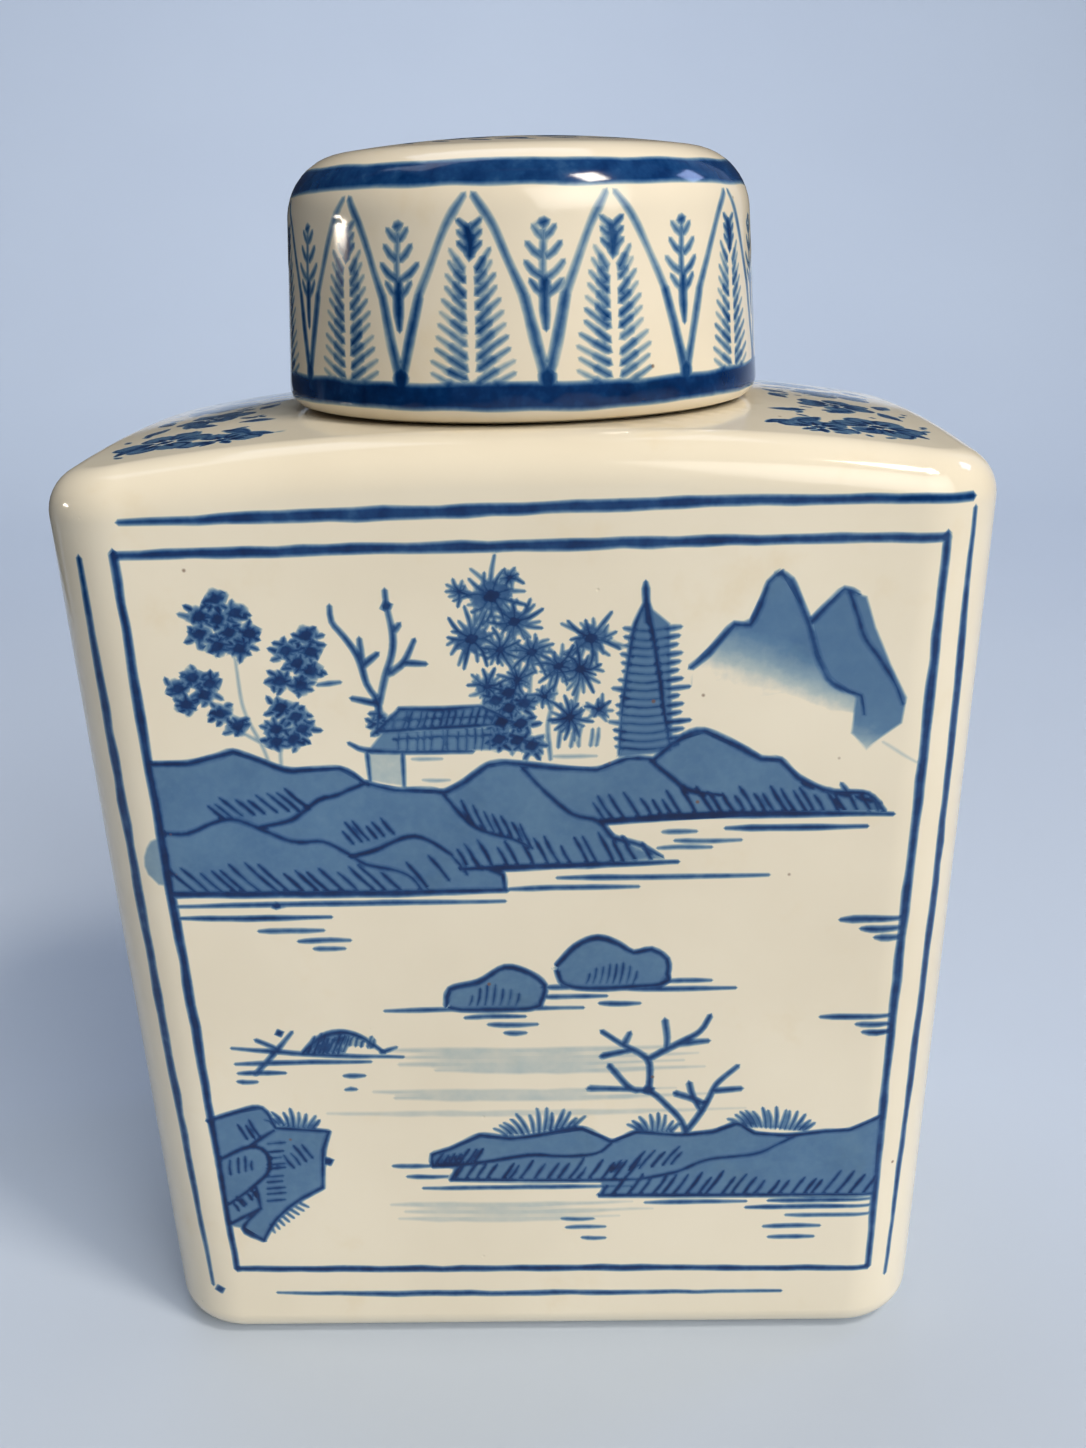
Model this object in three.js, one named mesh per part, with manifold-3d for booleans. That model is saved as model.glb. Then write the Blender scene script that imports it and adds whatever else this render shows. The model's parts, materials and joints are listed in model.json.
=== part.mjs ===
// A lidded porcelain jar of the tea caddy kind: a moulded body with a rounded
// rectangular plan that narrows a little towards the foot, a softly arched
// shoulder with a round neck in its middle, and a round cap that slides over the
// neck and rests on the shoulder. Millimetres, +Z up. The origin is on the
// surface that the jar stands on, under the middle of the body, and the wide
// painted front looks towards -Y.

import * as THREE from 'three';
import { mergeVertices } from 'three/addons/utils/BufferGeometryUtils.js';
import Module from 'manifold-3d';

// Body, outside
const shoulderWidth = 115.5; // along X, the walls carried up to the seat's height
const shoulderDepth = 74.5; // along Y, at the same height
const footWidth = 108; // along X, at the foot
const footDepth = 70; // along Y, at the foot
const cornerRadius = 11; // the four upright corners, seen from above
const seatHeight = 129; // the level ring that the lid rests on
const sideFall = 5.7; // how far the shoulder falls from the seat to the ends
const frontFall = 0.9; // how far it falls from the seat to front and back
const shoulderRounding = 6; // from the walls over on to the shoulder
const footRounding = 4; // from the walls under to the foot ring

// Body, inside and underneath
const wallThickness = 4;
const floorThickness = 5;
const footRingWidth = 5; // flat unglazed ring that the jar stands on
const footRecess = 2; // how far the base is hollowed inside the ring
const recessCorner = 4; // the hollow's corners, seen from below
const leastRounding = 1; // of an edge inside the walls

// Lid
const lidTopRadius = 30.2; // where the side turns over
const lidFlare = 1.3; // how much wider the rim is
const lidFootRadius = lidTopRadius + lidFlare;
const lidSideHeight = 23;
const lidRounding = 8.2; // from the side over on to the top
const lidCrown = 1.6; // how far the top swells in the middle
const lidWall = 4;
const lidTopThickness = 4;
const lidFootRounding = 2.5; // outer edge of the lid's rim

// Fits
const touchGap = 0.3; // between the lid's rim and the shoulder
const seatMargin = 1; // level seat beyond the lid's rim
const neckClearance = 1; // all round, between the neck and the lid's side
const neckHeadroom = 10; // between the neck's lip and the lid's top

// Neck
const neckWall = 3.5;
const neckLipRounding = 1.2;
const neckRadius = lidTopRadius - lidWall - neckClearance;
const lidInsideHeight = lidSideHeight + lidRounding - lidTopThickness;
const neckHeight = lidInsideHeight - neckHeadroom; // above the seat

// Fineness of the curved forms
const cornerSteps = 6;
const sideSteps = 8;
const endSteps = 6;
const roundSteps = 64;
const arcSteps = 5;
const wallSteps = 3;
const shoulderSteps = 5;
const crownSteps = 3;
const mergeDistance = 1e-4;

const wasm = await Module();
wasm.setup();

function solidFrom(geometry) {
  geometry.deleteAttribute('normal');
  geometry.deleteAttribute('uv');
  const merged = mergeVertices(geometry, mergeDistance);
  const vertProperties = new Float32Array(merged.attributes.position.array);
  const triVerts = new Uint32Array(merged.index.array);
  const mesh = new wasm.Mesh({ numProp: 3, vertProperties, triVerts });
  mesh.merge();
  return new wasm.Manifold(mesh);
}

function geometryFrom(solid) {
  const mesh = solid.getMesh();
  const geometry = new THREE.BufferGeometry();
  geometry.setAttribute('position', new THREE.BufferAttribute(mesh.vertProperties, 3));
  geometry.setIndex(new THREE.BufferAttribute(mesh.triVerts, 1));
  geometry.computeVertexNormals();
  return geometry;
}

// A rounded rectangle as points with their outward normals, anticlockwise.
function planOutline(halfWidth, halfDepth, radius) {
  const points = [];
  const right = halfWidth - radius;
  const back = halfDepth - radius;
  const corners = [
    [right, back, sideSteps],
    [-right, back, endSteps],
    [-right, -back, sideSteps],
    [right, -back, endSteps],
  ];
  corners.forEach(([x, y, steps], quarter) => {
    for (let step = 0; step <= cornerSteps; step += 1) {
      const angle = (quarter + step / cornerSteps) * Math.PI / 2;
      const normal = new THREE.Vector2(Math.cos(angle), Math.sin(angle));
      points.push({ at: new THREE.Vector2(x, y).addScaledVector(normal, radius), normal });
    }
    const { at, normal } = points[points.length - 1];
    const [nextX, nextY] = corners[(quarter + 1) % 4];
    const end = new THREE.Vector2(nextX, nextY).addScaledVector(normal, radius);
    for (let step = 1; step < steps; step += 1) {
      points.push({ at: at.clone().lerp(end, step / steps), normal });
    }
  });
  return points;
}

// A closed form through rings of points, from a centre point to a centre point.
function loft(rings) {
  const count = rings[0].length;
  const first = rings[0];
  const last = rings[rings.length - 1];
  const centre = (ring) => ring.reduce((sum, p) => sum.add(p), new THREE.Vector3()).divideScalar(count);
  const points = [centre(first), ...rings.flat(), centre(last)];
  const index = [];
  for (let j = 0; j < count; j += 1) {
    const k = (j + 1) % count;
    index.push(0, 1 + k, 1 + j);
    for (let i = 0; i < rings.length - 1; i += 1) {
      const low = 1 + i * count;
      const high = low + count;
      index.push(low + j, low + k, high + j, high + j, low + k, high + k);
    }
    const top = 1 + (rings.length - 1) * count;
    index.push(points.length - 1, top + j, top + k);
  }
  const geometry = new THREE.BufferGeometry().setFromPoints(points);
  geometry.setIndex(index);
  return geometry;
}

const seatRadius = lidFootRadius + seatMargin;

// Height of the shoulder's surface. It is level under the lid and falls away
// towards the ends and, much less, towards front and back.
function shoulderHeight(x, y) {
  const squared = x * x + y * y;
  const fall = sideFall * (x / (shoulderWidth / 2)) ** 2 + frontFall * (y / (shoulderDepth / 2)) ** 2;
  return seatHeight - fall * Math.max(0, 1 - seatRadius ** 2 / squared);
}

// The body's outer form, or the form a given distance inside it.
function bodyForm(inset, underside) {
  const halfWidthAt = (z) => THREE.MathUtils.lerp(footWidth, shoulderWidth, z / seatHeight) / 2 - inset;
  const halfDepthAt = (z) => THREE.MathUtils.lerp(footDepth, shoulderDepth, z / seatHeight) / 2 - inset;
  const corner = Math.max(cornerRadius - inset, leastRounding);
  const lowRounding = Math.max(footRounding - inset, leastRounding);
  const highRounding = Math.max(shoulderRounding - inset, leastRounding);
  const outlineAt = (z) => planOutline(halfWidthAt(z), halfDepthAt(z), corner);
  const rings = [];

  for (let step = 0; step <= arcSteps; step += 1) {
    const angle = step / arcSteps * Math.PI / 2;
    const inwards = lowRounding * (1 - Math.sin(angle));
    const z = underside + lowRounding * (1 - Math.cos(angle));
    rings.push(outlineAt(z).map(({ at, normal }) => {
      const moved = at.clone().addScaledVector(normal, -inwards);
      return new THREE.Vector3(moved.x, moved.y, z);
    }));
  }

  const rim = outlineAt(seatHeight).map(({ at, normal }) => {
    const inner = at.clone().addScaledVector(normal, -highRounding);
    return { normal, top: shoulderHeight(inner.x, inner.y) - inset };
  });
  for (let step = 1; step <= wallSteps; step += 1) {
    rings.push(rim.map(({ top }, j) => {
      const z = THREE.MathUtils.lerp(underside + lowRounding, top - highRounding, step / wallSteps);
      const { at } = outlineAt(z)[j];
      return new THREE.Vector3(at.x, at.y, z);
    }));
  }
  for (let step = 1; step <= arcSteps; step += 1) {
    const angle = step / arcSteps * Math.PI / 2;
    rings.push(rim.map(({ normal, top }, j) => {
      const z = top - highRounding * (1 - Math.sin(angle));
      const moved = outlineAt(z)[j].at.clone().addScaledVector(normal, -highRounding * (1 - Math.cos(angle)));
      return new THREE.Vector3(moved.x, moved.y, z);
    }));
  }
  const edge = rings[rings.length - 1];
  for (let step = 1; step <= shoulderSteps; step += 1) {
    rings.push(edge.map((point) => {
      const reach = Math.hypot(point.x, point.y);
      const share = THREE.MathUtils.lerp(reach, neckRadius - neckWall, step / shoulderSteps) / reach;
      const x = point.x * share;
      const y = point.y * share;
      return new THREE.Vector3(x, y, shoulderHeight(x, y) - inset);
    }));
  }
  return loft(rings);
}

// A round form from a profile of [radius, height] points, on end along Z.
function turned(profile) {
  const points = profile.map(([radius, z]) => new THREE.Vector2(radius, z));
  return new THREE.LatheGeometry(points, roundSteps).rotateX(Math.PI / 2);
}

function quarterArc(radius, centreR, centreZ, from, to) {
  return Array.from({ length: arcSteps + 1 }, (_, step) => {
    const angle = THREE.MathUtils.lerp(from, to, step / arcSteps);
    return [centreR + radius * Math.cos(angle), centreZ + radius * Math.sin(angle)];
  });
}

function bodyGeometry() {
  const neckTop = seatHeight + neckHeight;
  const rooted = seatHeight - wallThickness;
  const neckBore = neckRadius - neckWall;
  const neck = turned([
    [0, rooted],
    [neckRadius, rooted],
    ...quarterArc(neckLipRounding, neckRadius - neckLipRounding, neckTop - neckLipRounding, 0, Math.PI / 2),
    [0, neckTop],
  ]);
  const bore = turned([
    [0, rooted - wallThickness],
    [neckBore, rooted - wallThickness],
    [neckBore, neckTop + touchGap],
    [0, neckTop + touchGap],
  ]);
  const ring = planOutline(
    footWidth / 2 - footRounding - footRingWidth,
    footDepth / 2 - footRounding - footRingWidth,
    recessCorner,
  );
  const atHeight = (z) => ring.map(({ at }) => new THREE.Vector3(at.x, at.y, z));
  const recess = loft([atHeight(-footRecess), atHeight(footRecess)]);
  const cavity = bodyForm(wallThickness, footRecess + floorThickness);
  const solid = solidFrom(bodyForm(0, 0))
    .add(solidFrom(neck))
    .subtract(solidFrom(cavity))
    .subtract(solidFrom(bore))
    .subtract(solidFrom(recess));
  return geometryFrom(solid);
}

// The cap's section: up the outside, over the crown, and back down the inside.
function lidGeometry() {
  const rim = seatHeight + touchGap;
  const turn = rim + lidSideHeight;
  const crownRadius = lidTopRadius - lidRounding;
  const crownEdge = turn + lidRounding;
  const crown = Array.from({ length: crownSteps }, (_, step) => {
    const share = 1 - (step + 1) / crownSteps;
    return [crownRadius * share, crownEdge + lidCrown * (1 - share ** 2)];
  });
  const innerTop = crownEdge - lidTopThickness;
  const innerRounding = lidRounding - lidWall;
  const innerRadius = lidTopRadius - lidWall;
  const profile = [
    [lidFootRadius - lidWall, rim],
    ...quarterArc(lidFootRounding, lidFootRadius - lidFootRounding, rim + lidFootRounding, -Math.PI / 2, 0),
    ...quarterArc(lidRounding, crownRadius, turn, 0, Math.PI / 2),
    ...crown,
    [0, innerTop],
    ...quarterArc(innerRounding, innerRadius - innerRounding, innerTop - innerRounding, Math.PI / 2, 0),
    [lidFootRadius - lidWall, rim],
  ];
  return geometryFrom(solidFrom(turned(profile)));
}

function glaze(color) {
  return new THREE.MeshStandardMaterial({ color, roughness: 0.15, metalness: 0 });
}

function named(name, geometry, material) {
  const mesh = new THREE.Mesh(geometry, material);
  mesh.name = name;
  return mesh;
}

const jar = new THREE.Group();
jar.add(named('jar_body', bodyGeometry(), glaze(0xdccfb8)));
jar.add(named('lid', lidGeometry(), glaze(0xd2c8b6)));

export default jar;
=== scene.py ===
# %% [markdown]
# # A lidded porcelain jar, painted in blue under a cream glaze
# The jar is of the tea caddy kind: a rounded rectangular body with an arched shoulder, and a round cap. Its
# shape is simple, so nearly all of its character is in the brush painting and in the glaze over it. The
# jar's lengths are written in millimetres and turned to metres only when a mesh is made. The studio's are
# in metres.

# %% Load the frame
import json
import math
import random
import bmesh
import bpy
import numpy as np
from mathutils import Matrix, Vector
from mathutils.geometry import delaunay_2d_cdt
from mathutils.kdtree import KDTree

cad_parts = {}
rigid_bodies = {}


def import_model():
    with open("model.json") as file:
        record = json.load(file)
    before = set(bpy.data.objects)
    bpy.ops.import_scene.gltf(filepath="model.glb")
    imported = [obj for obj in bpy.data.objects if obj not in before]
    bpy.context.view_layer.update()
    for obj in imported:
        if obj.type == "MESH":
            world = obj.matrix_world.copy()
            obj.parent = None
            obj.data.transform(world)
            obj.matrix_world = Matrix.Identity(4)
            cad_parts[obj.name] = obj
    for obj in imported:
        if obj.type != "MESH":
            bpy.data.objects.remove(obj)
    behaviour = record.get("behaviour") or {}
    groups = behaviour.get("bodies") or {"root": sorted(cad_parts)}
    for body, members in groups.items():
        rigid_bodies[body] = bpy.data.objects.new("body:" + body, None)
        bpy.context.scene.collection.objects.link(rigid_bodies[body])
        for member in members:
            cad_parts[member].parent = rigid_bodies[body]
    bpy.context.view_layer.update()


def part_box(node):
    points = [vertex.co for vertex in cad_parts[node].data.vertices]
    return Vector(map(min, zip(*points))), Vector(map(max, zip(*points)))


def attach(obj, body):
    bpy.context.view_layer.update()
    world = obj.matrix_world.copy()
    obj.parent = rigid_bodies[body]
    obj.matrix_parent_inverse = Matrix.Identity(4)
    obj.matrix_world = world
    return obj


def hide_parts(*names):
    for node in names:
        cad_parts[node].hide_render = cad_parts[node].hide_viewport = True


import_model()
MM = 0.001
_, body_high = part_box("jar_body")
lid_low, lid_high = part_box("lid")
print("the body stands", round(body_high[2] / MM, 1), "mm to the lip")
print("the lid is", round((lid_high[0] - lid_low[0]) / MM, 1), "mm wide")

# %% [markdown]
# ## The body's form
# The real body was pressed or slip-cast in a mould: four walls that lean out a little towards the top,
# upright corners of one radius, a rolled shoulder edge, and a shoulder that falls towards both ends from a
# level seat. A sculpted mesh could only come near such a form. Here it is a formula, so each brush stroke
# can later be wrapped on to it exactly: `run` is the way round the body and `height` the way up its wall.

# %% Sizes of the body
touch_gap = 0.3
seat_height = lid_low[2] / MM - touch_gap
shoulder_width = 115.5
shoulder_depth = 74.5
foot_width = 108.0
foot_depth = 70.0
corner_radius = 11.0
side_fall = 5.7
front_fall = 0.9
shoulder_rounding = 6.0
foot_rounding = 4.0
wall = 4.0
neck_radius = 25.2
neck_wall = 3.5
lip_rounding = 1.2
lip_height = body_high[2] / MM
seat_radius = 32.5
floor_height = 7.0
foot_ring = 5.0
foot_recess = 2.0
print("the shoulder is", shoulder_width, "by", shoulder_depth, "mm, and the walls are", wall, "mm thick")

# %% Walk round the body's plan
front_half = shoulder_width / 2 - corner_radius
side_half = shoulder_depth / 2 - corner_radius
corner_length = corner_radius * math.pi / 2
half_run = 2 * front_half + 2 * side_half + 2 * corner_length


def plan(run, height, inset):
    """Points on the body's plan, and the outward directions there, at a run from the front's middle."""
    half_width = (foot_width + (shoulder_width - foot_width) * height / seat_height) / 2
    half_depth = (foot_depth + (shoulder_depth - foot_depth) * height / seat_height) / 2
    right = half_width - corner_radius
    back = half_depth - corner_radius
    run = (run + half_run) % (2 * half_run) - half_run
    way = np.abs(run)
    ends = np.cumsum([front_half, corner_length, 2 * side_half, corner_length])
    first = np.clip(way - ends[0], 0, corner_length) / corner_radius
    second = np.clip(way - ends[2], 0, corner_length) / corner_radius
    out_x = np.sin(first) * np.cos(second)
    out_y = -np.cos(first) + np.sin(second)
    x = np.minimum(way, ends[0]) / front_half * right
    x = x - np.clip(way - ends[3], 0, front_half) / front_half * right
    y = -back + np.clip(way - ends[1], 0, 2 * side_half) / side_half * back
    x = x + (corner_radius - inset) * out_x
    y = y + (corner_radius - inset) * out_y
    side = np.where(run < 0, -1.0, 1.0)
    return x * side, y, out_x * side, out_y


def shoulder_height(x, y):
    """The shoulder is level under the lid and falls away towards the ends."""
    fall = side_fall * (2 * x / shoulder_width) ** 2 + front_fall * (2 * y / shoulder_depth) ** 2
    return seat_height - fall * np.clip(1 - seat_radius ** 2 / np.maximum(x * x + y * y, 1), 0, None)


end_height = float(shoulder_height(shoulder_width / 2, 0))
print("the shoulder falls", round(seat_height - end_height, 1), "mm from the seat to the ends")

# %% Where the wall turns over on to the shoulder
step_in = 0.5
table_run = np.linspace(0, half_run, 1500)
table_slope = np.zeros_like(table_run)
table_edge = np.full_like(table_run, seat_height)
for _ in range(5):
    table_inset = shoulder_rounding * (1 - np.sin(np.arctan(table_slope)))
    edge_x, edge_y, away_x, away_y = plan(table_run, table_edge, table_inset)
    table_edge = shoulder_height(edge_x, edge_y)
    inner_height = shoulder_height(edge_x - away_x * step_in, edge_y - away_y * step_in)
    table_slope = (inner_height - table_edge) / step_in
table_turn = math.pi / 2 - np.arctan(table_slope)
table_top = table_edge - shoulder_rounding * np.sin(table_turn)
foot_arc = foot_rounding * math.pi / 2


def from_front(run):
    """How far round a place is from the middle of the front, whichever way is shorter."""
    return np.abs((run + half_run) % (2 * half_run) - half_run)


def wall_top(run):
    """The height at which the wall starts to turn on to the shoulder."""
    return np.interp(from_front(run), table_run, table_top)


def turn_length(run):
    """How long the turn on to the shoulder is, measured over it."""
    return np.interp(from_front(run), table_run, table_turn) * shoulder_rounding


def on_wall(flat):
    """From (run, height) on the unrolled wall to a place in space; foot and shoulder roll over."""
    run, height = flat[:, 0], flat[:, 1]
    top = wall_top(run)
    low = np.minimum(height - foot_rounding, 0) / foot_rounding
    over = np.maximum(height - top, 0) / shoulder_rounding
    inset = foot_rounding * (1 - np.cos(low)) + shoulder_rounding * (1 - np.cos(over))
    z = np.clip(height, foot_rounding, top) + foot_rounding * np.sin(low) + shoulder_rounding * np.sin(over)
    x, y, _, _ = plan(run, z, inset)
    return np.stack([x, y, z], axis=1)


def on_shoulder(flat):
    """From (x, y) on the shoulder's sheet to a place in space."""
    return np.stack([flat[:, 0], flat[:, 1], shoulder_height(flat[:, 0], flat[:, 1])], axis=1)


print("way round the body:", round(2 * half_run), "mm; the wall's top falls",
      round(float(table_top.max() - table_top.min()), 1), "mm from the middle to the corners")

# %% [markdown]
# ## The lid's form
# The cap was thrown or jiggered on a wheel, so one profile spun round its axis gives all of it. Its outside
# is unrolled too: `run` is the way round at a reference radius, and `height` the way up along the profile.

# %% Sizes and profile of the lid
lid_floor = lid_low[2] / MM
lid_rim_radius = (lid_high[0] - lid_low[0]) / MM / 2
lid_flare = 1.3
lid_side = 23.0
lid_rounding = 8.2
lid_crown = 1.6
lid_rim_rounding = 2.5
lid_wall = 4.0
lid_inside = 27.2
lid_top_radius = lid_rim_radius - lid_flare
crown_radius = lid_top_radius - lid_rounding
crown_slope = math.atan(2 * lid_crown / crown_radius)
paint_radius = 31.0
rim_steps = 24


def arc(radius, centre_r, centre_z, start, end, steps):
    """Points of an arc in a turner's profile, as (radius, height)."""
    turns = np.linspace(start, end, steps)
    return [(centre_r + radius * math.cos(a), centre_z + radius * math.sin(a)) for a in turns]


turn_end = math.pi / 2 - crown_slope
rim_centre = (lid_rim_radius - lid_rim_rounding, lid_floor + lid_rim_rounding)
rim_arc = arc(lid_rim_rounding, *rim_centre, -math.pi / 2, 0, rim_steps)
turn_arc = arc(lid_rounding, crown_radius, lid_floor + lid_side, 0, turn_end, 60)
lid_outside = np.array(rim_arc + turn_arc)
lid_way = np.concatenate([[0], np.cumsum(np.hypot(*np.diff(lid_outside, axis=0).T))])
crown_edge_radius, crown_edge_height = lid_outside[-1]


def on_lid_side(flat):
    """From (run, height) on the lid's unrolled side to a place in space."""
    angle = flat[:, 0] / paint_radius
    radius = np.interp(flat[:, 1], lid_way, lid_outside[:, 0])
    z = np.interp(flat[:, 1], lid_way, lid_outside[:, 1])
    return np.stack([radius * np.sin(angle), -radius * np.cos(angle), z], axis=1)


def on_lid_top(flat):
    """From (x, y) on the crown's sheet to a place in space."""
    share = (flat[:, 0] ** 2 + flat[:, 1] ** 2) / crown_edge_radius ** 2
    rise = crown_edge_radius * math.tan(crown_slope) / 2
    return np.stack([flat[:, 0], flat[:, 1], crown_edge_height + rise * (1 - share)], axis=1)


def lid_up(height):
    """The way up the profile to a height above the rim."""
    return float(np.interp(lid_floor + height, lid_outside[:, 1], lid_way))


print("the lid's side is", round(float(lid_way[-1]), 1), "mm long from rim to crown")

# %% [markdown]
# ## How the painting gets on to the form
# On the real jar, cobalt was brushed on the dry body and the glaze was laid over it, so the picture has no
# thickness: only colour, with soft edges. It could be a picture file, which a reusable part shouldn't need,
# or hundreds of shader nodes. Instead each unrolled surface is a flat sheet that is cut along every brush
# stroke by a triangulation that keeps those cuts as edges, and then wrapped on to the form. Each point of
# the sheet stores how much line and how much wash lies there, and the glaze's material reads the two.

# %% Brush strokes and washes
WASH_EDGE = 0.45  # mm over which a wash stops at its edge
brush = random.Random(7)


class Painting:
    """The strokes and washes of one flat sheet; whatever is painted lands relative to origin."""

    def __init__(self, edge=0.6):
        self.strokes = []
        self.washes = []
        self.origin = (0, 0)
        self.edge = edge  # mm over which a line bleeds out
        self.bleed = edge * 0.5  # how much of that lies outside its nominal width


def curve_through(points, closed=False, step=0.8):
    """A smooth hand-drawn curve through a few points."""
    spots = [np.array(p, float) for p in points]
    if len(spots) == 2:
        parts = max(2, int(np.hypot(*(spots[1] - spots[0])) / (2 * step)) + 1)
        return np.array([spots[0] + (spots[1] - spots[0]) * k / parts for k in range(parts + 1)])
    if closed:
        ring = [spots[-1], *spots, spots[0], spots[1]]
    else:
        ring = [2 * spots[0] - spots[1], *spots, 2 * spots[-1] - spots[-2]]
    out = []
    for a, b, c, d in zip(ring, ring[1:], ring[2:], ring[3:]):
        parts = max(1, int(np.hypot(*(c - b)) / step + 0.5))
        for k in range(parts):
            t = k / parts
            bend = (2 * a - 5 * b + 4 * c - d) * t * t + (3 * b - a - 3 * c + d) * t ** 3
            out.append(0.5 * (2 * b + (c - a) * t + bend))
    if not closed:
        out.append(spots[-1])
    return np.array(out)


def wavering(count, spread, every=4):
    """Values that drift slowly between plus and minus a spread."""
    knots = count // every + 2
    values = [brush.uniform(-spread, spread) for _ in range(knots)]
    return np.interp(np.linspace(0, knots - 1, count), range(knots), values)


def stroke(sheet, points, width=0.5, load=0.8, ends=(0.75, 0.35), shake=0.05):
    """One pull of the brush: width in mm, load from 0, watery, to 1, full, and how wide its ends are."""
    line = curve_through(points) + sheet.origin
    count = len(line)
    share = np.linspace(0, 1, count)
    thick = np.interp(share, [0, 0.18, 0.65, 1], [ends[0], 1, 0.92, ends[1]]) * width
    thick = thick * (1 + wavering(count, 0.16))
    if shake and count > 3:
        line = line + np.stack([wavering(count, shake), wavering(count, shake)], axis=1)
    sheet.strokes.append((line, thick / 2 + sheet.bleed, load * brush.uniform(0.88, 1.1)))


def dot(sheet, at, size=0.8, load=0.9):
    """A round touch of the brush's tip."""
    spots = [(at[0] + size * k, at[1] + size * k * 0.3) for k in (-0.3, -0.1, 0.1, 0.3)]
    reach = np.array([0.3, 0.48, 0.48, 0.3]) * size + sheet.bleed
    sheet.strokes.append((np.array(spots, float) + sheet.origin, reach, load))


def wash(sheet, points, strength=0.9, fade=None, smooth=True):
    """A flat area of thin blue; fade is a pair of places between which it runs out."""
    ring = curve_through(points, closed=True, step=1.2) if smooth else np.array(points, float)
    if fade:
        fade = [np.array(end, float) + sheet.origin for end in fade]
    sheet.washes.append((ring + sheet.origin, strength, fade))


print("a line fades out over", Painting().edge, "mm and a wash over", WASH_EDGE, "mm")

# %% [markdown]
# The sheet is cut along both sides of each line twice: where the paint starts to thin and where it ends.
# The triangles between those cuts carry the soft edge, so a line half a millimetre wide stays crisp close
# by without a fine mesh everywhere. A line too thin for the inner cuts gets one down its middle. A loose
# grid of further points keeps the triangles small on the curved parts.

# %% Rails along a stroke or round a wash
def side_points(line, offset):
    """The ring round a line at an offset, which may change along it."""
    way = np.gradient(line, axis=0)
    way = way / np.maximum(np.hypot(way[:, 0], way[:, 1]), 1e-9)[:, None]
    across = np.stack([-way[:, 1], way[:, 0]], axis=1)
    start = line[0] - way[0] * offset[0]
    end = line[-1] + way[-1] * offset[-1]
    left = line + across * offset[:, None]
    right = line - across * offset[:, None]
    return np.concatenate([[start], left, [end], right[::-1]])


def grown(ring, distance):
    """A closed ring moved outwards by a distance, or inwards where that is negative."""
    after = np.roll(ring, -1, axis=0)
    turned = 1.0 if np.sum(ring[:, 0] * after[:, 1] - ring[:, 1] * after[:, 0]) > 0 else -1.0
    ahead = after - ring
    ahead = ahead / np.maximum(np.hypot(ahead[:, 0], ahead[:, 1]), 1e-9)[:, None]
    way = ahead + np.roll(ahead, 1, axis=0)
    way = way / np.maximum(np.hypot(way[:, 0], way[:, 1]), 1e-9)[:, None]
    corner = np.maximum(np.sum(way * ahead, axis=1), 0.4)
    return ring + np.stack([way[:, 1], -way[:, 0]], axis=1) * (distance * turned / corner)[:, None]


def distance_along(spots, line):
    """Distance to the nearest place on a line, and that place as a fractional index."""
    best = np.full(len(spots), 1e9)
    where = np.zeros(len(spots))
    for k in range(len(line) - 1):
        along = line[k + 1] - line[k]
        length2 = max(float(along @ along), 1e-12)
        share = np.clip((spots - line[k]) @ along / length2, 0, 1)
        away = np.hypot(*(spots - line[k] - share[:, None] * along).T)
        closer = away < best
        best[closer] = away[closer]
        where[closer] = k + share[closer]
    return best, where


def outer_rail(line, reach):
    """The ring at which a stroke's paint ends, without the points that a tight bend folds back over it."""
    rail = side_points(line, reach)
    away, where = distance_along(rail, line)
    return rail[away > 0.9 * np.interp(where, np.arange(len(line)), reach)]


spine = np.array([(0.0, 0.0), (4.0, 0.0)])
print("a straight stroke's outer rail has", len(outer_rail(spine, np.array([0.5, 0.5]))), "points")

# %% Cut a sheet along its painting
keep_off = 0.8  # mm between a cut and the nearest point of the loose grid
same_point = 0.003  # mm within which the triangulation takes two points for one


def cut_sheet(sheet, borders, inside, grid):
    """Points and triangles over a flat sheet, with edges along its borders, strokes and washes."""
    points, edges = [], []

    def add(chain, closed):
        first = len(points)
        points.extend(Vector(p) for p in chain)
        edges.extend((first + k, first + k + 1) for k in range(len(chain) - 1))
        if closed:
            edges.append((len(points) - 1, first))

    for ring in borders:
        add(ring, True)
    for line, reach, _ in sheet.strokes:
        add(outer_rail(line, reach), True)
        if reach.max() > sheet.edge * 1.2:
            add(side_points(line, np.maximum(reach - sheet.edge, 0.04)), True)
        else:
            add(line, False)
    for ring, _, _ in sheet.washes:
        for side in [WASH_EDGE / 2, -WASH_EDGE / 2]:
            rail = grown(ring, side)
            away, _ = distance_along(rail, np.concatenate([ring, ring[:1]]))
            add(rail[away > 0.9 * abs(side)], True)
    near = KDTree(len(points) + 1)
    for k, p in enumerate(points):
        near.insert((p[0], p[1], 0), k)
    near.insert((1e6, 1e6, 0), len(points))
    near.balance()
    points.extend(Vector(p) for p in grid if near.find((p[0], p[1], 0))[2] > keep_off)
    flat, _, faces, _, _, _ = delaunay_2d_cdt(points, edges, [], 0, same_point, False)
    flat = np.array([tuple(p) for p in flat])
    faces = np.array([f for f in faces if len(f) == 3])
    a, b, c = flat[faces[:, 0]], flat[faces[:, 1]], flat[faces[:, 2]]
    area = (b[:, 0] - a[:, 0]) * (c[:, 1] - a[:, 1]) - (b[:, 1] - a[:, 1]) * (c[:, 0] - a[:, 0])
    faces[area < 0] = faces[area < 0][:, ::-1]
    keep = inside((a + b + c) / 3) & (np.abs(area) > 1e-9)
    return flat, faces[keep]


trial = Painting()
dot(trial, (0, 0), 2)
square = np.array([(-3.0, -3.0), (3.0, -3.0), (3.0, 3.0), (-3.0, 3.0)])
trial_flat, trial_faces = cut_sheet(trial, [square], lambda p: np.full(len(p), True), [])
print("a square with one dot on it is cut into", len(trial_faces), "triangles")

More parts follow.
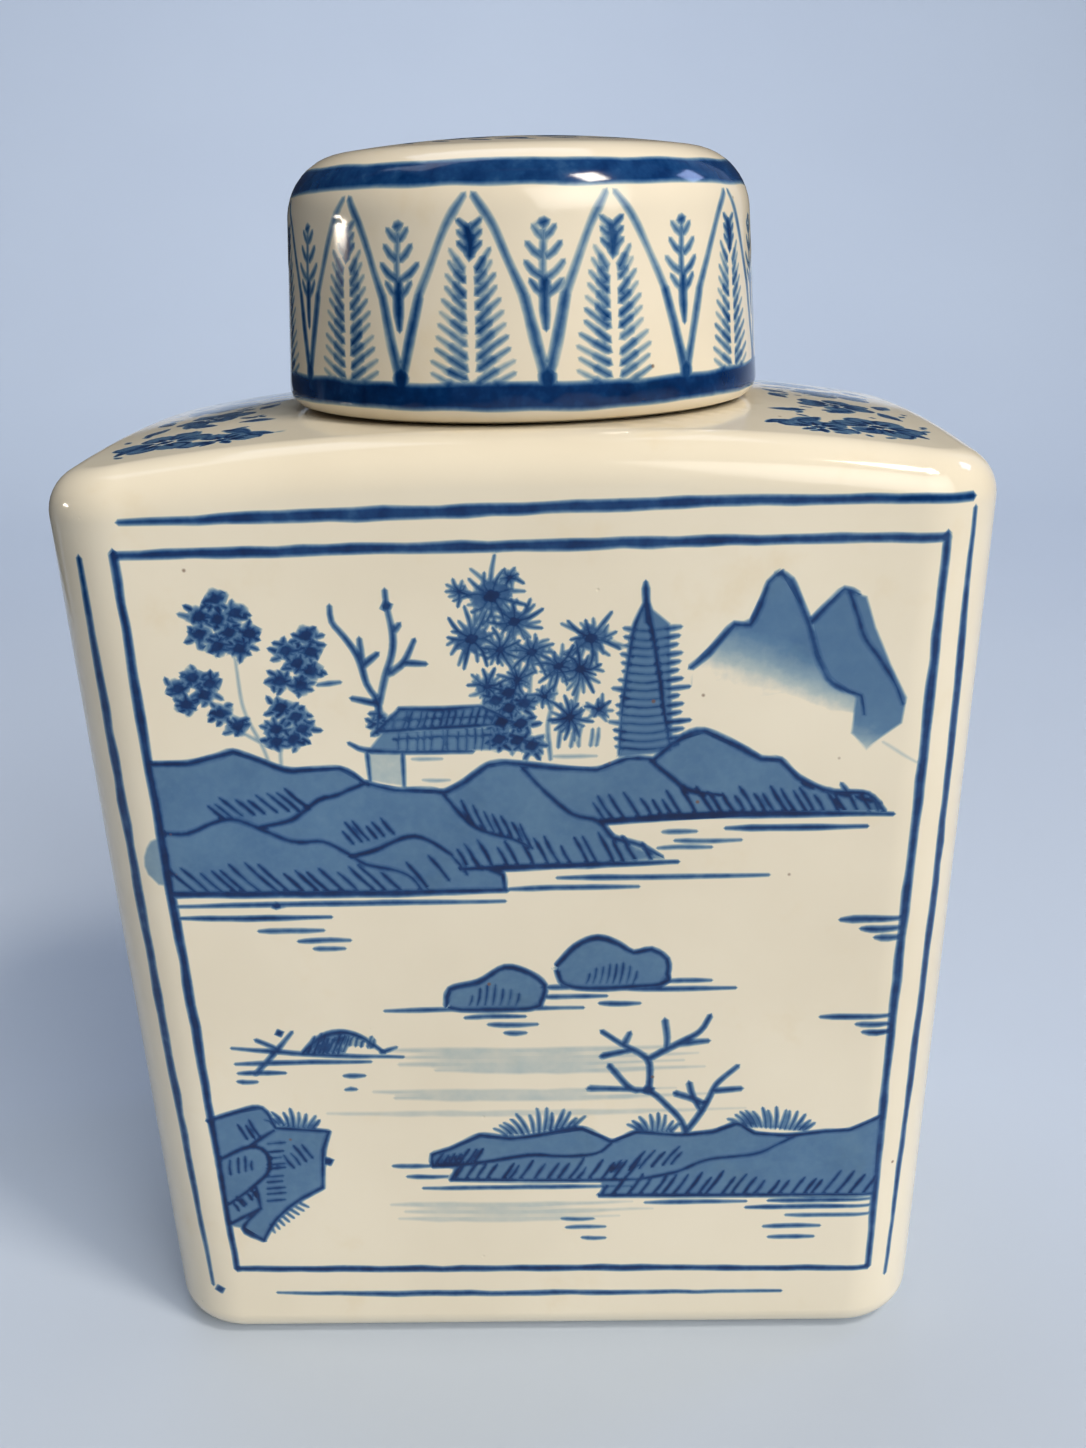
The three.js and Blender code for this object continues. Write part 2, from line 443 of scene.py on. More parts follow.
# %% Read the paint at every point of a sheet
def within(spots, ring):
    """True for the spots inside a closed ring."""
    inside = np.zeros(len(spots), bool)
    for a, b in zip(ring, np.roll(ring, -1, axis=0)):
        crosses = (a[1] > spots[:, 1]) != (b[1] > spots[:, 1])
        rise = b[1] - a[1] if b[1] != a[1] else 1e-12
        x = a[0] + (spots[:, 1] - a[1]) / rise * (b[0] - a[0])
        inside ^= crosses & (spots[:, 0] < x)
    return inside


search_margin = 0.3


def paint_at(sheet, flat):
    """How much cobalt the lines and the washes leave at each place of a sheet."""
    line_paint = np.zeros(len(flat))
    wash_paint = np.zeros(len(flat))
    order = np.argsort(flat[:, 0])
    sorted_x = flat[order, 0]

    def close_by(low, high):
        among = order[np.searchsorted(sorted_x, low[0]):np.searchsorted(sorted_x, high[0])]
        return among[(flat[among, 1] > low[1]) & (flat[among, 1] < high[1])]

    for line, reach, load in sheet.strokes:
        margin = reach.max() + search_margin
        near = close_by(line.min(0) - margin, line.max(0) + margin)
        away, where = distance_along(flat[near], line)
        value = (np.interp(where, np.arange(len(line)), reach) - away) / sheet.edge
        value[~within(flat[near], outer_rail(line, reach))] = 0
        line_paint[near] = np.maximum(line_paint[near], np.clip(value, 0, 1) * load)
    for ring, strength, fade in sheet.washes:
        near = close_by(ring.min(0) - 1, ring.max(0) + 1)
        spots = flat[near]
        away, _ = distance_along(spots, np.concatenate([ring, ring[:1]]))
        signed = np.where(within(spots, ring), away, -away)
        value = strength * np.clip(0.5 + signed / WASH_EDGE, 0, 1)
        if fade:
            start, end = np.array(fade[0], float), np.array(fade[1], float)
            along = end - start
            value = value * np.clip(1 - (spots - start) @ along / (along @ along), 0, 1)
        wash_paint[near] = np.maximum(wash_paint[near], value)
    return line_paint, wash_paint


trial_paint, _ = paint_at(trial, trial_flat)
print("the dot's paint runs from", trial_paint.min(), "to", trial_paint.max())

# %% [markdown]
# ## Motifs
# The painter built the scene from a few learned marks: ridges with short hatching at their feet, level
# water strokes, bare trees, bursts of needles, dabs for leaves. Each is a function here, so that the front,
# the plainer back and the ends are painted with the same hand.

# %% Rows of strokes
def pointing(angle):
    """A step of length 1 at an angle."""
    return np.array([math.cos(angle), math.sin(angle)])


def to_the_left(way):
    """A step turned a quarter to the left."""
    return np.array([-way[1], way[0]])


def hatch(sheet, start, end, count, lean, width=0.56, load=1.0, spread=0.3):
    """A row of short strokes that lean the same way, from their feet between start and end."""
    for k in range(count):
        share = (k + brush.uniform(-0.25, 0.25)) / max(count - 1, 1)
        x = start[0] + (end[0] - start[0]) * share
        z = start[1] + (end[1] - start[1]) * share
        size = 1 + brush.uniform(-spread, spread)
        bend = brush.uniform(-0.15, 0.15)
        middle = (x + lean[0] * size * 0.5 + bend, z + lean[1] * size * 0.5)
        stroke(sheet, [(x + lean[0] * size, z + lean[1] * size), middle, (x, z)], width, load,
               (0.5, 0.8), 0)


def water(sheet, rows, width=0.5, load=0.85):
    """Level strokes on still water, each row given as (from, to, height)."""
    for left, right, z in rows:
        sag = brush.uniform(-0.15, 0.15)
        stroke(sheet, [(left, z), ((left + right) / 2, z + sag), (right, z + sag * 0.5)], width, load,
               (0.3, 0.3), 0.03)


print("rows:", hatch.__name__, water.__name__)

# %% Foliage and grass
def burst(sheet, at, size, needles=15, load=0.75):
    """Pine or willow foliage: watery needles all round a dark heart, in a haze of thin blue."""
    at = np.array(at, float)
    dot(sheet, at, size * 0.95, 0.58)
    for k in range(needles):
        angle = 2 * math.pi * (k + brush.uniform(-0.4, 0.4)) / needles
        reach = size * brush.uniform(0.6, 1.15)
        way = pointing(angle)
        bend = to_the_left(way) * brush.uniform(-0.12, 0.12) * size
        heavy = load * (1.15 if k % 2 else 0.85)
        stroke(sheet, [at + way * size * 0.06, at + way * reach * 0.5 + bend, at + way * reach], 0.3, heavy,
               (2.0, 0.2), 0)
    dot(sheet, at, size * 0.42, load + 0.2)


def sprig(sheet, at, size=1.7, dabs=7, load=1.0):
    """A clump of short fat dabs of leaf, thrown out loosely from one place, over a thin blot."""
    dot(sheet, at, size * 0.8, 0.95)
    dot(sheet, at, size * 1.3, 0.45)
    for k in range(dabs):
        angle = 2 * math.pi * (k + brush.uniform(-0.35, 0.35)) / dabs
        reach = size * brush.uniform(0.3, 0.95)
        middle = np.array(at) + np.array([math.cos(angle), math.sin(angle) * 0.8]) * reach
        lean = angle + brush.uniform(-0.6, 0.6)
        half = np.array([math.cos(lean), math.sin(lean) * 0.7]) * brush.uniform(0.25, 0.55)
        stroke(sheet, [middle - half, middle + half], 0.5, load * brush.uniform(0.8, 1.1), (1.0, 0.6), 0)


def tuft(sheet, start, end, count, reach=2.4, load=0.85):
    """Grass that fans out over a bank."""
    for k in range(count):
        share = k / (count - 1)
        foot = np.array([start[0] + (end[0] - start[0]) * share, start[1] + (end[1] - start[1]) * share])
        angle = math.radians(148 - 105 * share + brush.uniform(-7, 7))
        length = reach * (0.75 + 0.35 * math.sin(math.pi * share)) * brush.uniform(0.85, 1.15)
        tip = foot + pointing(angle) * length
        middle = foot + (tip - foot) * 0.5 + np.array([0.12, 0.12])
        stroke(sheet, [foot, middle, tip], 0.44, load, (1.0, 0.3), 0)


print("foliage:", burst.__name__, sprig.__name__, tuft.__name__)

# %% Bare trees and rocks
def placed(points, at, scale=1.0, flip=False):
    """Points of a motif, drawn round its own foot, put in their place."""
    side = -1 if flip else 1
    return [(at[0] + side * scale * x, at[1] + scale * z) for x, z in points]


def branches(sheet, limbs, at, scale=1.0, flip=False, width=0.72, load=0.88):
    """The limbs of a bare tree that stands at a place."""
    for limb in limbs:
        stroke(sheet, placed(limb, at, scale, flip), width, load, (1.0, 0.7))


def rock(sheet, outline, at, scale=1.0, flip=False, marks=6):
    """A rounded rock in the water: a wash, a broken outline and a few strokes that give it a side."""
    ring = placed(outline, at, scale, flip)
    wash(sheet, ring)
    stroke(sheet, ring, 0.72, 0.98, (0.9, 0.8))
    for k in range(marks):
        x = -3.4 + 6.4 * k / (marks - 1)
        tall = 1.6 + 1.3 * math.sin(math.pi * k / (marks - 1)) + brush.uniform(-0.3, 0.3)
        foot = 0.5
        mark = [(x + 0.5, foot + tall), (x + 0.35, foot + tall / 2), (x, foot)]
        stroke(sheet, placed(mark, at, scale, flip), 0.42, 0.9)


# Limbs of a bare tree, from its foot
BARE_TREE = [
    [(0, 0), (-0.6, 1.9), (-1.7, 3.4), (-4.2, 6), (-5.3, 7), (-5.3, 8.6), (-5.6, 11.8), (-9, 14.1),
     (-12, 16.2)],
    [(-5.6, 11.8), (-1.3, 14.2), (1.6, 16), (2.9, 18.4)],
    [(-3.3, 17.8), (-2.9, 15.2), (-3, 13.3)],
    [(-1.3, 14.2), (2.8, 14.6)],
    [(-11.9, 12.4), (-8, 13.2)],
    [(-8.9, 14.2), (-8.1, 15.9)],
    [(-11, 10.9), (-7.9, 7.2), (-5.7, 7)],
    [(-13.8, 7.4), (-9.5, 7.2), (-5.7, 7)],
    [(0, 0), (2, 3.1), (3.4, 6), (4.2, 7.8), (7.1, 10.6)],
    [(0.3, 8), (0.9, 6), (2, 3.7)],
    [(-1.6, 6.4), (0.8, 5.5), (2.8, 4.6)],
    [(3.7, 6.7), (7.7, 7)],
]
LONG_ROCK = [(-6.5, 0.6), (-5.9, 3), (-2, 4), (1.7, 6.2), (5, 5.2), (7, 3.4), (6.5, 1), (5, 0),
             (-4.4, -0.1), (-6.5, 0.6)]
TWIN_ROCK = [(-7.6, 3), (-4.8, 6), (-1.8, 7.2), (1, 6.3), (3, 5), (5.4, 5.4), (7.5, 3.9), (7.6, 1.8),
             (6.6, 0.2), (-5.3, 0), (-7.6, 3)]
print("the bare tree has", len(BARE_TREE), "limbs")

# %% [markdown]
# ## The front: hills over a lake
# A double frame holds a lake between two shores. The far shore has a pavilion, a pagoda and trees on
# hatched hills, with two peaks behind it in mist. Rocks and an islet stand in the water, and a crag and a
# bank with a bare tree close the foot. Each form is a flat wash with its lines on top, and the lines carry
# the drawing.

# %% Frame lines of the front
walls = Painting()


def tally(sheet, part):
    """Say how many strokes and washes a sheet has once a part of it is painted."""
    print("with", part, "there are", len(sheet.strokes), "strokes and", len(sheet.washes), "washes")


def rule(sheet, points, width, load=0.92, ends=(0.7, 0.7)):
    """A long ruled line, pulled freehand in short stretches, so that it swells and thins."""
    stroke(sheet, points, width, load, ends, 0.1)


rule(walls, [(-47.6, 116.1), (-22, 116.3), (2, 116.4), (26, 116.5), (50, 116.3)], 1.15)
rule(walls, [(-47.6, 116.4), (-47.5, 88), (-47, 53), (-46.6, 12.2)], 1.05)
rule(walls, [(50, 116.6), (49.8, 84), (49.5, 47), (49.8, 11.2)], 1.05)
rule(walls, [(-46.7, 12.4), (-20, 12), (2, 11.9), (26, 11.7), (49.8, 11.4)], 0.85)
rule(walls, [(-46.5, 120), (-22, 120.4), (3, 120.7), (28, 121.1), (53.2, 120.8)], 1.3, 0.92, (0.3, 0.6))
rule(walls, [(-52.5, 115.6), (-52.3, 86), (-51.8, 54), (-50.8, 9)], 1.3, 0.9, (0.5, 0.3))
rule(walls, [(53.6, 119.4), (54.3, 82), (53.9, 47), (53, 9)], 1.2, 0.9, (0.4, 0.3))
rule(walls, [(-41, 7.9), (-20, 7.6), (0, 7.5), (37, 7.4)], 0.7, 0.85, (0.2, 0.3))
dot(walls, (-49.7, 8.4), 1.3)
tally(walls, "the frame")

# %% Hills of the far shore
hill_foot = [(-47.4, 72), (-20, 71.8), (-3.2, 71.8), (-3.2, 75), (9, 75.3), (17.2, 76), (11.2, 79),
             (9.6, 81.2), (30, 81.9), (45.4, 82)]
hill_top = [(43, 84.3), (38.4, 84.9), (34.4, 86.7), (32, 89), (29.6, 89.2), (27, 90.7), (22.4, 93),
            (19.4, 92.1), (16, 89.5), (12.9, 89.7), (9, 88.2), (3, 88.6), (-2.4, 89.3), (-4.8, 88.9),
            (-7.6, 86.9), (-10.4, 85.6), (-16.6, 85.9), (-20.2, 86.8), (-23.4, 88.9), (-29.5, 88.7),
            (-33.4, 90.1), (-36.6, 91.3), (-42.5, 89.9), (-47.4, 89.9)]
wash(walls, hill_foot + hill_top, 0.92, smooth=False)
wash(walls, [(-47.6, 73.2), (-50, 74.6), (-50.2, 77), (-48.9, 79.4), (-47.6, 80)], 0.6)
for ridge in [
    [(-47.4, 89.9), (-42.5, 89.9), (-39, 90.6), (-36.6, 91.3), (-33.4, 90.1), (-29.5, 88.7), (-23.4, 88.9),
     (-20, 86.6)],
    [(-20.2, 86.9), (-16.6, 85.9), (-12.4, 85.8), (-10.4, 85.5), (-7.6, 86.9), (-4.8, 88.9), (-2.4, 89.3),
     (3, 88.6), (9, 88.2), (12.9, 89.6), (16, 89.4)],
    [(-10.8, 85.5), (-7.8, 81.8), (-5.2, 80), (-1.9, 79), (0.6, 77.7)],
    [(-0.4, 88.6), (2.8, 85), (5.9, 82.2), (9.2, 81.2), (11, 79), (14.5, 77.9), (17.4, 76.1)],
    [(-34.2, 81.2), (-30.2, 82.1), (-26.6, 84.7), (-24, 85.4), (-20.1, 87)],
    [(-47, 80.5), (-43.9, 80.5), (-40.3, 81.9), (-37.8, 82.3), (-35.3, 81.4), (-30.5, 79.1), (-26.4, 79),
     (-23.2, 77.2), (-21.2, 75.8), (-17.3, 74.9), (-15.3, 73.8), (-14.1, 72)],
    [(-23.2, 77), (-20.1, 77.6), (-15.5, 79.5), (-12.9, 79), (-10, 77)],
    [(15.9, 89.1), (19.3, 92), (22.3, 93), (27, 90.7), (29.6, 89.2), (32, 89), (34.3, 86.7), (38.3, 84.8),
     (43.2, 84.3), (45.5, 82)],
    [(15.7, 89.3), (18.5, 86.9), (20.9, 85.1), (24.6, 84.5)], [(-5.2, 74.8), (-3.4, 74), (-3.2, 71.9)],
]:
    stroke(walls, ridge, 0.74, 1.0, (0.8, 0.6))
stroke(walls, [(-47.4, 72), (-20, 71.7), (-3, 71.9)], 1.0, 1.0, (0.9, 0.6))
stroke(walls, [(-9, 74.9), (0, 75.1), (19.5, 75.5)], 0.8, 1.0, (0.6, 0.3))
stroke(walls, [(9.4, 81.2), (18, 81.7), (27, 81.9), (46.8, 81.6)], 0.85, 1.0, (0.8, 0.3))
hatch(walls, (-44.5, 72.3), (-17, 72.2), 16, (-2.9, 3.1))
hatch(walls, (-39.4, 82.5), (-27.8, 83.6), 9, (-2.2, 2.1))
hatch(walls, (-22.6, 78.7), (-17.4, 80), 6, (-1.6, 2.2))
hatch(walls, (-6.8, 81), (0.2, 78.3), 7, (-1.4, 3.2))
hatch(walls, (-13, 72.6), (-6, 74.8), 4, (-2, 2.8))
hatch(walls, (-8.4, 75.5), (16, 76), 15, (-1.5, 3.0))
hatch(walls, (9.8, 81.7), (21.4, 82.2), 9, (-1.6, 2.6))
hatch(walls, (23.6, 82.3), (44.8, 82.2), 17, (-1.8, 2.8))
hatch(walls, (36.4, 85.2), (45, 83), 8, (-1.1, 0.5), 0.8, 0.95)
tally(walls, "the hills")

# %% Two peaks in mist behind the shore
wash(walls, [(20.5, 101.1), (24.3, 105), (25.6, 106.4), (27.4, 106.3), (29.4, 111.4), (30.9, 112.7),
             (33.2, 109), (34.6, 105.9), (35.6, 102.5), (37.2, 99.4), (41.4, 97.2), (42, 94.8), (38, 95.3),
             (32, 97.6), (26, 96.6), (21, 98.2)],
     0.95, ((31, 104.4), (28.6, 98.2)), smooth=False)
wash(walls, [(34.8, 106.6), (38.4, 110.4), (41, 109.4), (42.4, 105.6), (44.6, 101), (46.9, 96.8),
             (46.6, 93.6), (44.8, 92.2), (42.6, 90.2), (40.6, 92.4), (40.8, 97), (37.4, 99.4),
             (35.7, 102.4)], 1, ((43.2, 93), (42.2, 89.4)), smooth=False)
for ridge in [
    [(20.5, 101.1), (22.5, 102.8), (24.3, 105), (25.6, 106.4), (27.4, 106.3), (28.6, 108.6), (29.4, 111.4),
     (30.9, 112.7)],
    [(30.4, 112.6), (32, 111.6), (33.2, 109), (34.6, 105.9), (35.6, 102.5), (37.2, 99.4), (39.5, 97.8),
     (41.4, 97.2), (42, 94.8)],
    [(34.8, 106.6), (36.5, 108.5), (38.4, 110.4), (40.2, 109.7)],
    [(39, 110.1), (40.2, 107), (41.3, 104.3), (43.6, 101.4), (45.4, 98.6), (46.6, 96)],
]:
    stroke(walls, ridge, 0.75, 0.85, (0.9, 0.5))
stroke(walls, [(44.6, 91.2), (47, 89.6), (49.2, 88.2)], 0.3, 0.2, (0.6, 0.4))
tally(walls, "the peaks")

# %% Pavilion, pagoda and their trees
roof = [(-15.3, 96.5), (-5, 96.6), (-1.2, 94.4), (-18.6, 93.5)]
wash(walls, roof, 1, smooth=False)
wash(walls, [(-17.6, 93.6), (-1.8, 94), (-2.2, 91), (-19.6, 91.2)], 0.85, smooth=False)
wash(walls, [(-19.8, 91.1), (-15.3, 91), (-15.5, 86.4), (-19.7, 87.2)], 0.3, smooth=False)
stroke(walls, [(-18.9, 93.3), (-17.2, 94.7), (-15.2, 96.5)], 0.6, 0.95)
stroke(walls, [(-15.5, 96.5), (-10, 96.4), (-4.8, 96.7)], 0.62, 0.95)
stroke(walls, [(-5, 96.6), (-3, 95.6), (-1.2, 94.3)], 0.6, 0.95)
stroke(walls, [(-18.4, 93.7), (-10, 94), (-1.2, 94.4)], 0.55, 0.95)
stroke(walls, [(-22, 92.2), (-19.8, 91.2), (-14, 90.9), (-6.6, 90.9)], 0.5, 0.9, (0.4, 0.7))
stroke(walls, [(-19.8, 91.2), (-19.7, 87.2)], 0.45, 0.8)
stroke(walls, [(-15.3, 91), (-15.5, 86.2)], 0.45, 0.85)
hatch(walls, (-15.6, 91.2), (-3.4, 91.2), 13, (0.2, 2.5), 0.3, 0.8, 0.12)
hatch(walls, (-16.2, 94), (-3.2, 94.5), 15, (0.7, 2.1), 0.36, 0.9, 0.12)
stroke(walls, [(-16.8, 95.1), (-10, 95.3), (-3.4, 95.4)], 0.3, 0.8)
stroke(walls, [(-16.4, 92.6), (-9, 92.9), (-3, 92.8)], 0.4, 0.8)
water(walls, [(-14.2, -10.4, 90), (-13, -9.6, 87.2)], 0.35, 0.3)

wash(walls, [(11.8, 89.8), (12.2, 96), (12.8, 101), (13.4, 106.3), (14.4, 108.6), (15, 110.4),
             (15.7, 108.4), (17.8, 106.6), (18, 101), (18.3, 95), (18.5, 90.4)], 1, smooth=False)
stroke(walls, [(14.9, 111.8), (15, 109.4), (15.2, 106.8)], 0.8, 0.98, (0.3, 1.0))
stroke(walls, [(14.8, 109), (13.6, 106.4), (12.8, 101), (12.2, 96), (11.8, 90.2)], 0.45, 0.9)
stroke(walls, [(15.2, 109), (15.7, 106), (16.7, 100), (17.3, 96), (18.2, 90.6)], 0.62, 0.98)
for tier in range(15):
    z = 90.9 + tier * 1.07
    left = 11.9 + 0.09 * (z - 90)
    right = 18.5 - 0.04 * (z - 90)
    stroke(walls, [(left, z + 0.1), (15.2, z - 0.15), (right, z + 0.2)], 0.3, 0.88, (0.6, 0.6), 0.08)
    reach = 2.2 if tier in (3, 7) else 0.8 + 0.25 * (tier % 3)
    stroke(walls, [(right - 0.4, z + 0.1), (right + reach, z + 0.35)], 0.5, 0.9, (1.0, 0.4), 0)
    stroke(walls, [(left + 0.4, z), (left - reach * 0.75, z + 0.3)], 0.45, 0.88, (1.0, 0.4), 0)

for heart, size in [((-3.4, 110.4), 4.4), ((-6, 105.2), 3.7), ((-0.8, 107.2), 3.4), ((1.2, 103.4), 3.1),
                    ((-2.6, 103.8), 2.8), ((4.4, 101.6), 2.9), ((8.4, 105), 3.6), ((7, 101.2), 3),
                    ((5.7, 95.1), 2.8), ((-4.4, 99.2), 2.4), ((-0.6, 100), 2.4), ((-7.2, 111), 1.6),
                    ((9.3, 96), 1.8), ((2.6, 97.8), 2.0), ((-1.2, 112.6), 1.8)]:
    burst(walls, heart, size, 18 if size > 2 else 10, 0.95)
for heart in [(-1.8, 96.4), (-3.4, 97.4), (-0.4, 94.4), (-2.8, 94.6), (-3.2, 92.4), (-0.9, 92.2),
              (0.9, 91.5), (-1.8, 98.4), (0.2, 97)]:
    sprig(walls, heart, 2.1, 9, 0.95)
for limb in [[(-1.6, 90.4), (-2, 95), (-1.4, 101), (-1, 105)], [(0.2, 89.6), (0.6, 95), (1, 101)],
             [(3.2, 89.6), (3, 94), (4, 99)], [(6.2, 93), (6.4, 97), (7.2, 100)], [(1.6, 97), (3.4, 99.6)],
             [(10.8, 104.4), (12.6, 103.9)]]:
    stroke(walls, limb, 0.34, 0.5, (0.8, 0.5))
hatch(walls, (4.4, 91.2), (9.2, 91.4), 5, (0.3, 2.2), 0.3, 0.6)
water(walls, [(3.4, 9, 90)], 0.35, 0.3)
tally(walls, "the pavilion and the pagoda")

# %% Leafy tree and bare tree on the left
for at in [(-36.3, 110.7), (-38.6, 108.6), (-36.4, 108.2), (-34.2, 109), (-32.8, 106.4), (-36.8, 104.9),
           (-38.8, 106.4), (-34.2, 104.6), (-35.2, 106.6), (-40.4, 101), (-42.4, 99.6), (-41.6, 97.6),
           (-39.2, 98.8), (-37.5, 96.4), (-35.6, 94.7), (-38.4, 100.2), (-26, 106), (-28.6, 104.2),
           (-27.4, 102.6), (-29.8, 100.4), (-27.2, 99.8), (-25.6, 104), (-25.8, 101.6), (-30, 97),
           (-28.2, 95.8), (-30.9, 94.2), (-28.8, 92.9), (-27.6, 94.2), (-31, 92.6)]:
    sprig(walls, at, 2.0, 8)
for limb in [[(-32.2, 89.6), (-33, 92.4), (-34.6, 97), (-34.9, 103.2)],
             [(-30.8, 89.2), (-30.6, 91.4), (-29.9, 93)], [(-33.2, 92.6), (-35.4, 94)]]:
    stroke(walls, limb, 0.32, 0.3, (0.8, 0.4))
stroke(walls, [(-25.2, 99.8), (-22.3, 100.1)], 0.42, 0.8, (0.4, 0.4))
for limb in [
    [(-18.3, 93.4), (-17.9, 97.3), (-19.1, 99.8), (-20, 103.5), (-21.4, 105.9), (-22.7, 107.7),
     (-22.8, 109.6)],
    [(-19.4, 101.6), (-19.6, 105.5)],
    [(-19.3, 102.2), (-17.5, 103.6)],
    [(-17.8, 97.2), (-16.8, 100.6), (-15.8, 103.4), (-15.5, 105.9), (-16, 109.6), (-16.1, 111.4)],
    [(-15.5, 106.2), (-14.6, 107.2)],
    [(-16, 101.2), (-14.3, 102.6), (-12.9, 105.2)],
    [(-14.3, 102.4), (-11.7, 102.2)],
    [(-18.1, 97.3), (-21.1, 98)],
]:
    stroke(walls, limb, 0.6, 0.82, (1.0, 0.6))
dot(walls, (-16, 109.4), 1.2, 0.85)
for at in [(-18.6, 94.6), (-17.8, 95.6)]:
    sprig(walls, at, 1.1, 5)
tally(walls, "the trees on the left")

# %% Water below the far shore
water(walls, [(25.5, 43.6, 80)], 0.62, 0.92)
water(walls, [(17.4, 21.8, 79.6), (19, 27.6, 78.4), (16.8, 23.8, 77.4)], 0.4, 0.7)
water(walls, [(3.7, 31.4, 73.5), (-2.6, 14.4, 72)], 0.5, 0.85)
water(walls, [(-46.6, -3.2, 70.2), (-46.5, -26.4, 68.5)], 0.55, 0.9)
water(walls, [(-36.4, -27.6, 66.5), (-31.2, -24.2, 64.9), (-29.2, -25, 63.8)], 0.5, 0.8)
dot(walls, (-33.5, 70.1), 1.1, 0.98)
water(walls, [(41.2, 49.6, 66.9), (44, 49.6, 65.6), (46, 49.6, 64.3)], 0.8, 0.9)
water(walls, [(39.6, 49.4, 52.6), (44.6, 49.4, 51.4), (45.6, 49.4, 50.2)], 0.62, 0.9)
tally(walls, "the upper water")

# %% Rocks and an islet in the lake
rock(walls, LONG_ROCK, (-5.3, 54.5), 1.0, False, 7)
rock(walls, TWIN_ROCK, (10.8, 57.6), 1.0, False, 8)
water(walls, [(-20.4, 7, 54.4), (-9.4, -1, 53.2), (-6.2, 0.6, 52.1), (-4, -1, 50.8)], 0.5, 0.85)
water(walls, [(1.2, 10.8, 57.6), (12.2, 27.8, 57.2), (18.4, 24.4, 58.3), (1.2, 10.2, 56.2),
              (9.2, 14.8, 55.1)], 0.5, 0.85)
islet = [(-32.6, 47.9), (-30.1, 50.2), (-27.1, 51.2), (-24.2, 50.5), (-21, 48)]
wash(walls, [(-32.4, 47.9), (-30.1, 50.1), (-27, 51), (-25.6, 50.6), (-27.6, 49.6), (-28.6, 47.9)], 0.75)
stroke(walls, islet, 0.75, 1.0)
hatch(walls, (-31.6, 47.9), (-26.8, 48.2), 8, (1.1, 2.4), 0.5, 1.0)
hatch(walls, (-28, 49.6), (-22.6, 48.8), 8, (0.5, 1.2), 0.42, 0.9)
stroke(walls, [(-42.4, 49), (-36, 48.3), (-28, 47.6), (-18.4, 47.3)], 0.5, 0.88, (0.3, 0.3))
stroke(walls, [(-21.4, 48), (-19.2, 48.8)], 0.45, 0.85)
water(walls, [(-42.2, -23, 46.5), (-42, -35.2, 45), (-42.2, -39.4, 43.7), (-27, -24, 44.4),
              (-27, -25.4, 42.2)], 0.48, 0.85)
stroke(walls, [(-39.6, 44.8), (-36.6, 48), (-33.6, 51.4)], 0.6, 0.9)
stroke(walls, [(-38.8, 50.2), (-35.4, 48.5)], 0.5, 0.9)
dot(walls, (-35.4, 51.2), 1.0, 0.95)
for left, right, z in [(-20, 22, 48.3), (-18, 23, 47.2), (-19, 21, 46.1), (-14, 24, 45.1), (-23, 20, 41.8),
                       (-20, 25, 40.8), (-22, 14, 23.2), (-20, 17, 22), (-21, 12, 20.8), (-30, 30, 38.4)]:
    stroke(walls, [(left, z), ((left + right) / 2, z - 0.3), (right, z + 0.1)], 1.1, 0.11, (0.5, 0.3))
tally(walls, "the rocks and the islet")

# %% Crag at the foot on the left
crag = [(-47.4, 37.4), (-43, 38.9), (-39.3, 39.4), (-37.7, 36.2), (-34.5, 35.9), (-30, 35.4), (-31.2, 32.5),
        (-31.9, 26.2), (-35.6, 24.2), (-39.2, 21.2), (-41.8, 17.3), (-44.6, 19.4), (-47, 20)]
wash(walls, crag, 0.92, smooth=False)
for edge in [
    crag[:4], [(-37.7, 36.2), (-34.5, 35.9), (-30, 35.5)], [(-30, 35.6), (-31.2, 32.5), (-31.9, 26.2)],
    [(-31.9, 26.3), (-35.6, 24.2), (-39.2, 21.2), (-41.8, 17.3)],
    [(-41.8, 17.3), (-44.6, 19.4), (-41.6, 22.8)],
    [(-46.8, 31), (-42, 33.2), (-39.6, 32.2), (-39.5, 29.2), (-42, 26.7), (-46.2, 23.6)],
    [(-42, 33.2), (-38, 35.8)], [(-41.6, 22.8), (-41.8, 26.6)], [(-46.2, 20.4), (-41.6, 22.8)],
]:
    stroke(walls, edge, 0.66, 0.98, (0.8, 0.7))
hatch(walls, (-39.2, 33.4), (-40.4, 24), 10, (2.3, 0.2), 0.5, 0.9, 0.2)
hatch(walls, (-42.4, 34.4), (-40, 35), 3, (-1, 2.2))
hatch(walls, (-45.4, 28.6), (-42, 29.4), 4, (0.2, 1.9))
hatch(walls, (-35.8, 29.6), (-33, 31.2), 4, (-1.2, 2.0))
hatch(walls, (-44.8, 22.6), (-42.2, 24.8), 5, (-0.8, 1.4))
tuft(walls, (-37.8, 36.8), (-32.4, 36.1), 9, 2.3)
for k in range(8):
    stroke(walls, [(-40.6 + k * 0.65, 20 + k * 0.55), (-40 + k * 0.8, 18.6 + k * 0.62)], 0.34, 0.8,
           (1.0, 0.3), 0)
dot(walls, (-30.6, 30.6), 1.3, 0.95)
tally(walls, "the crag")

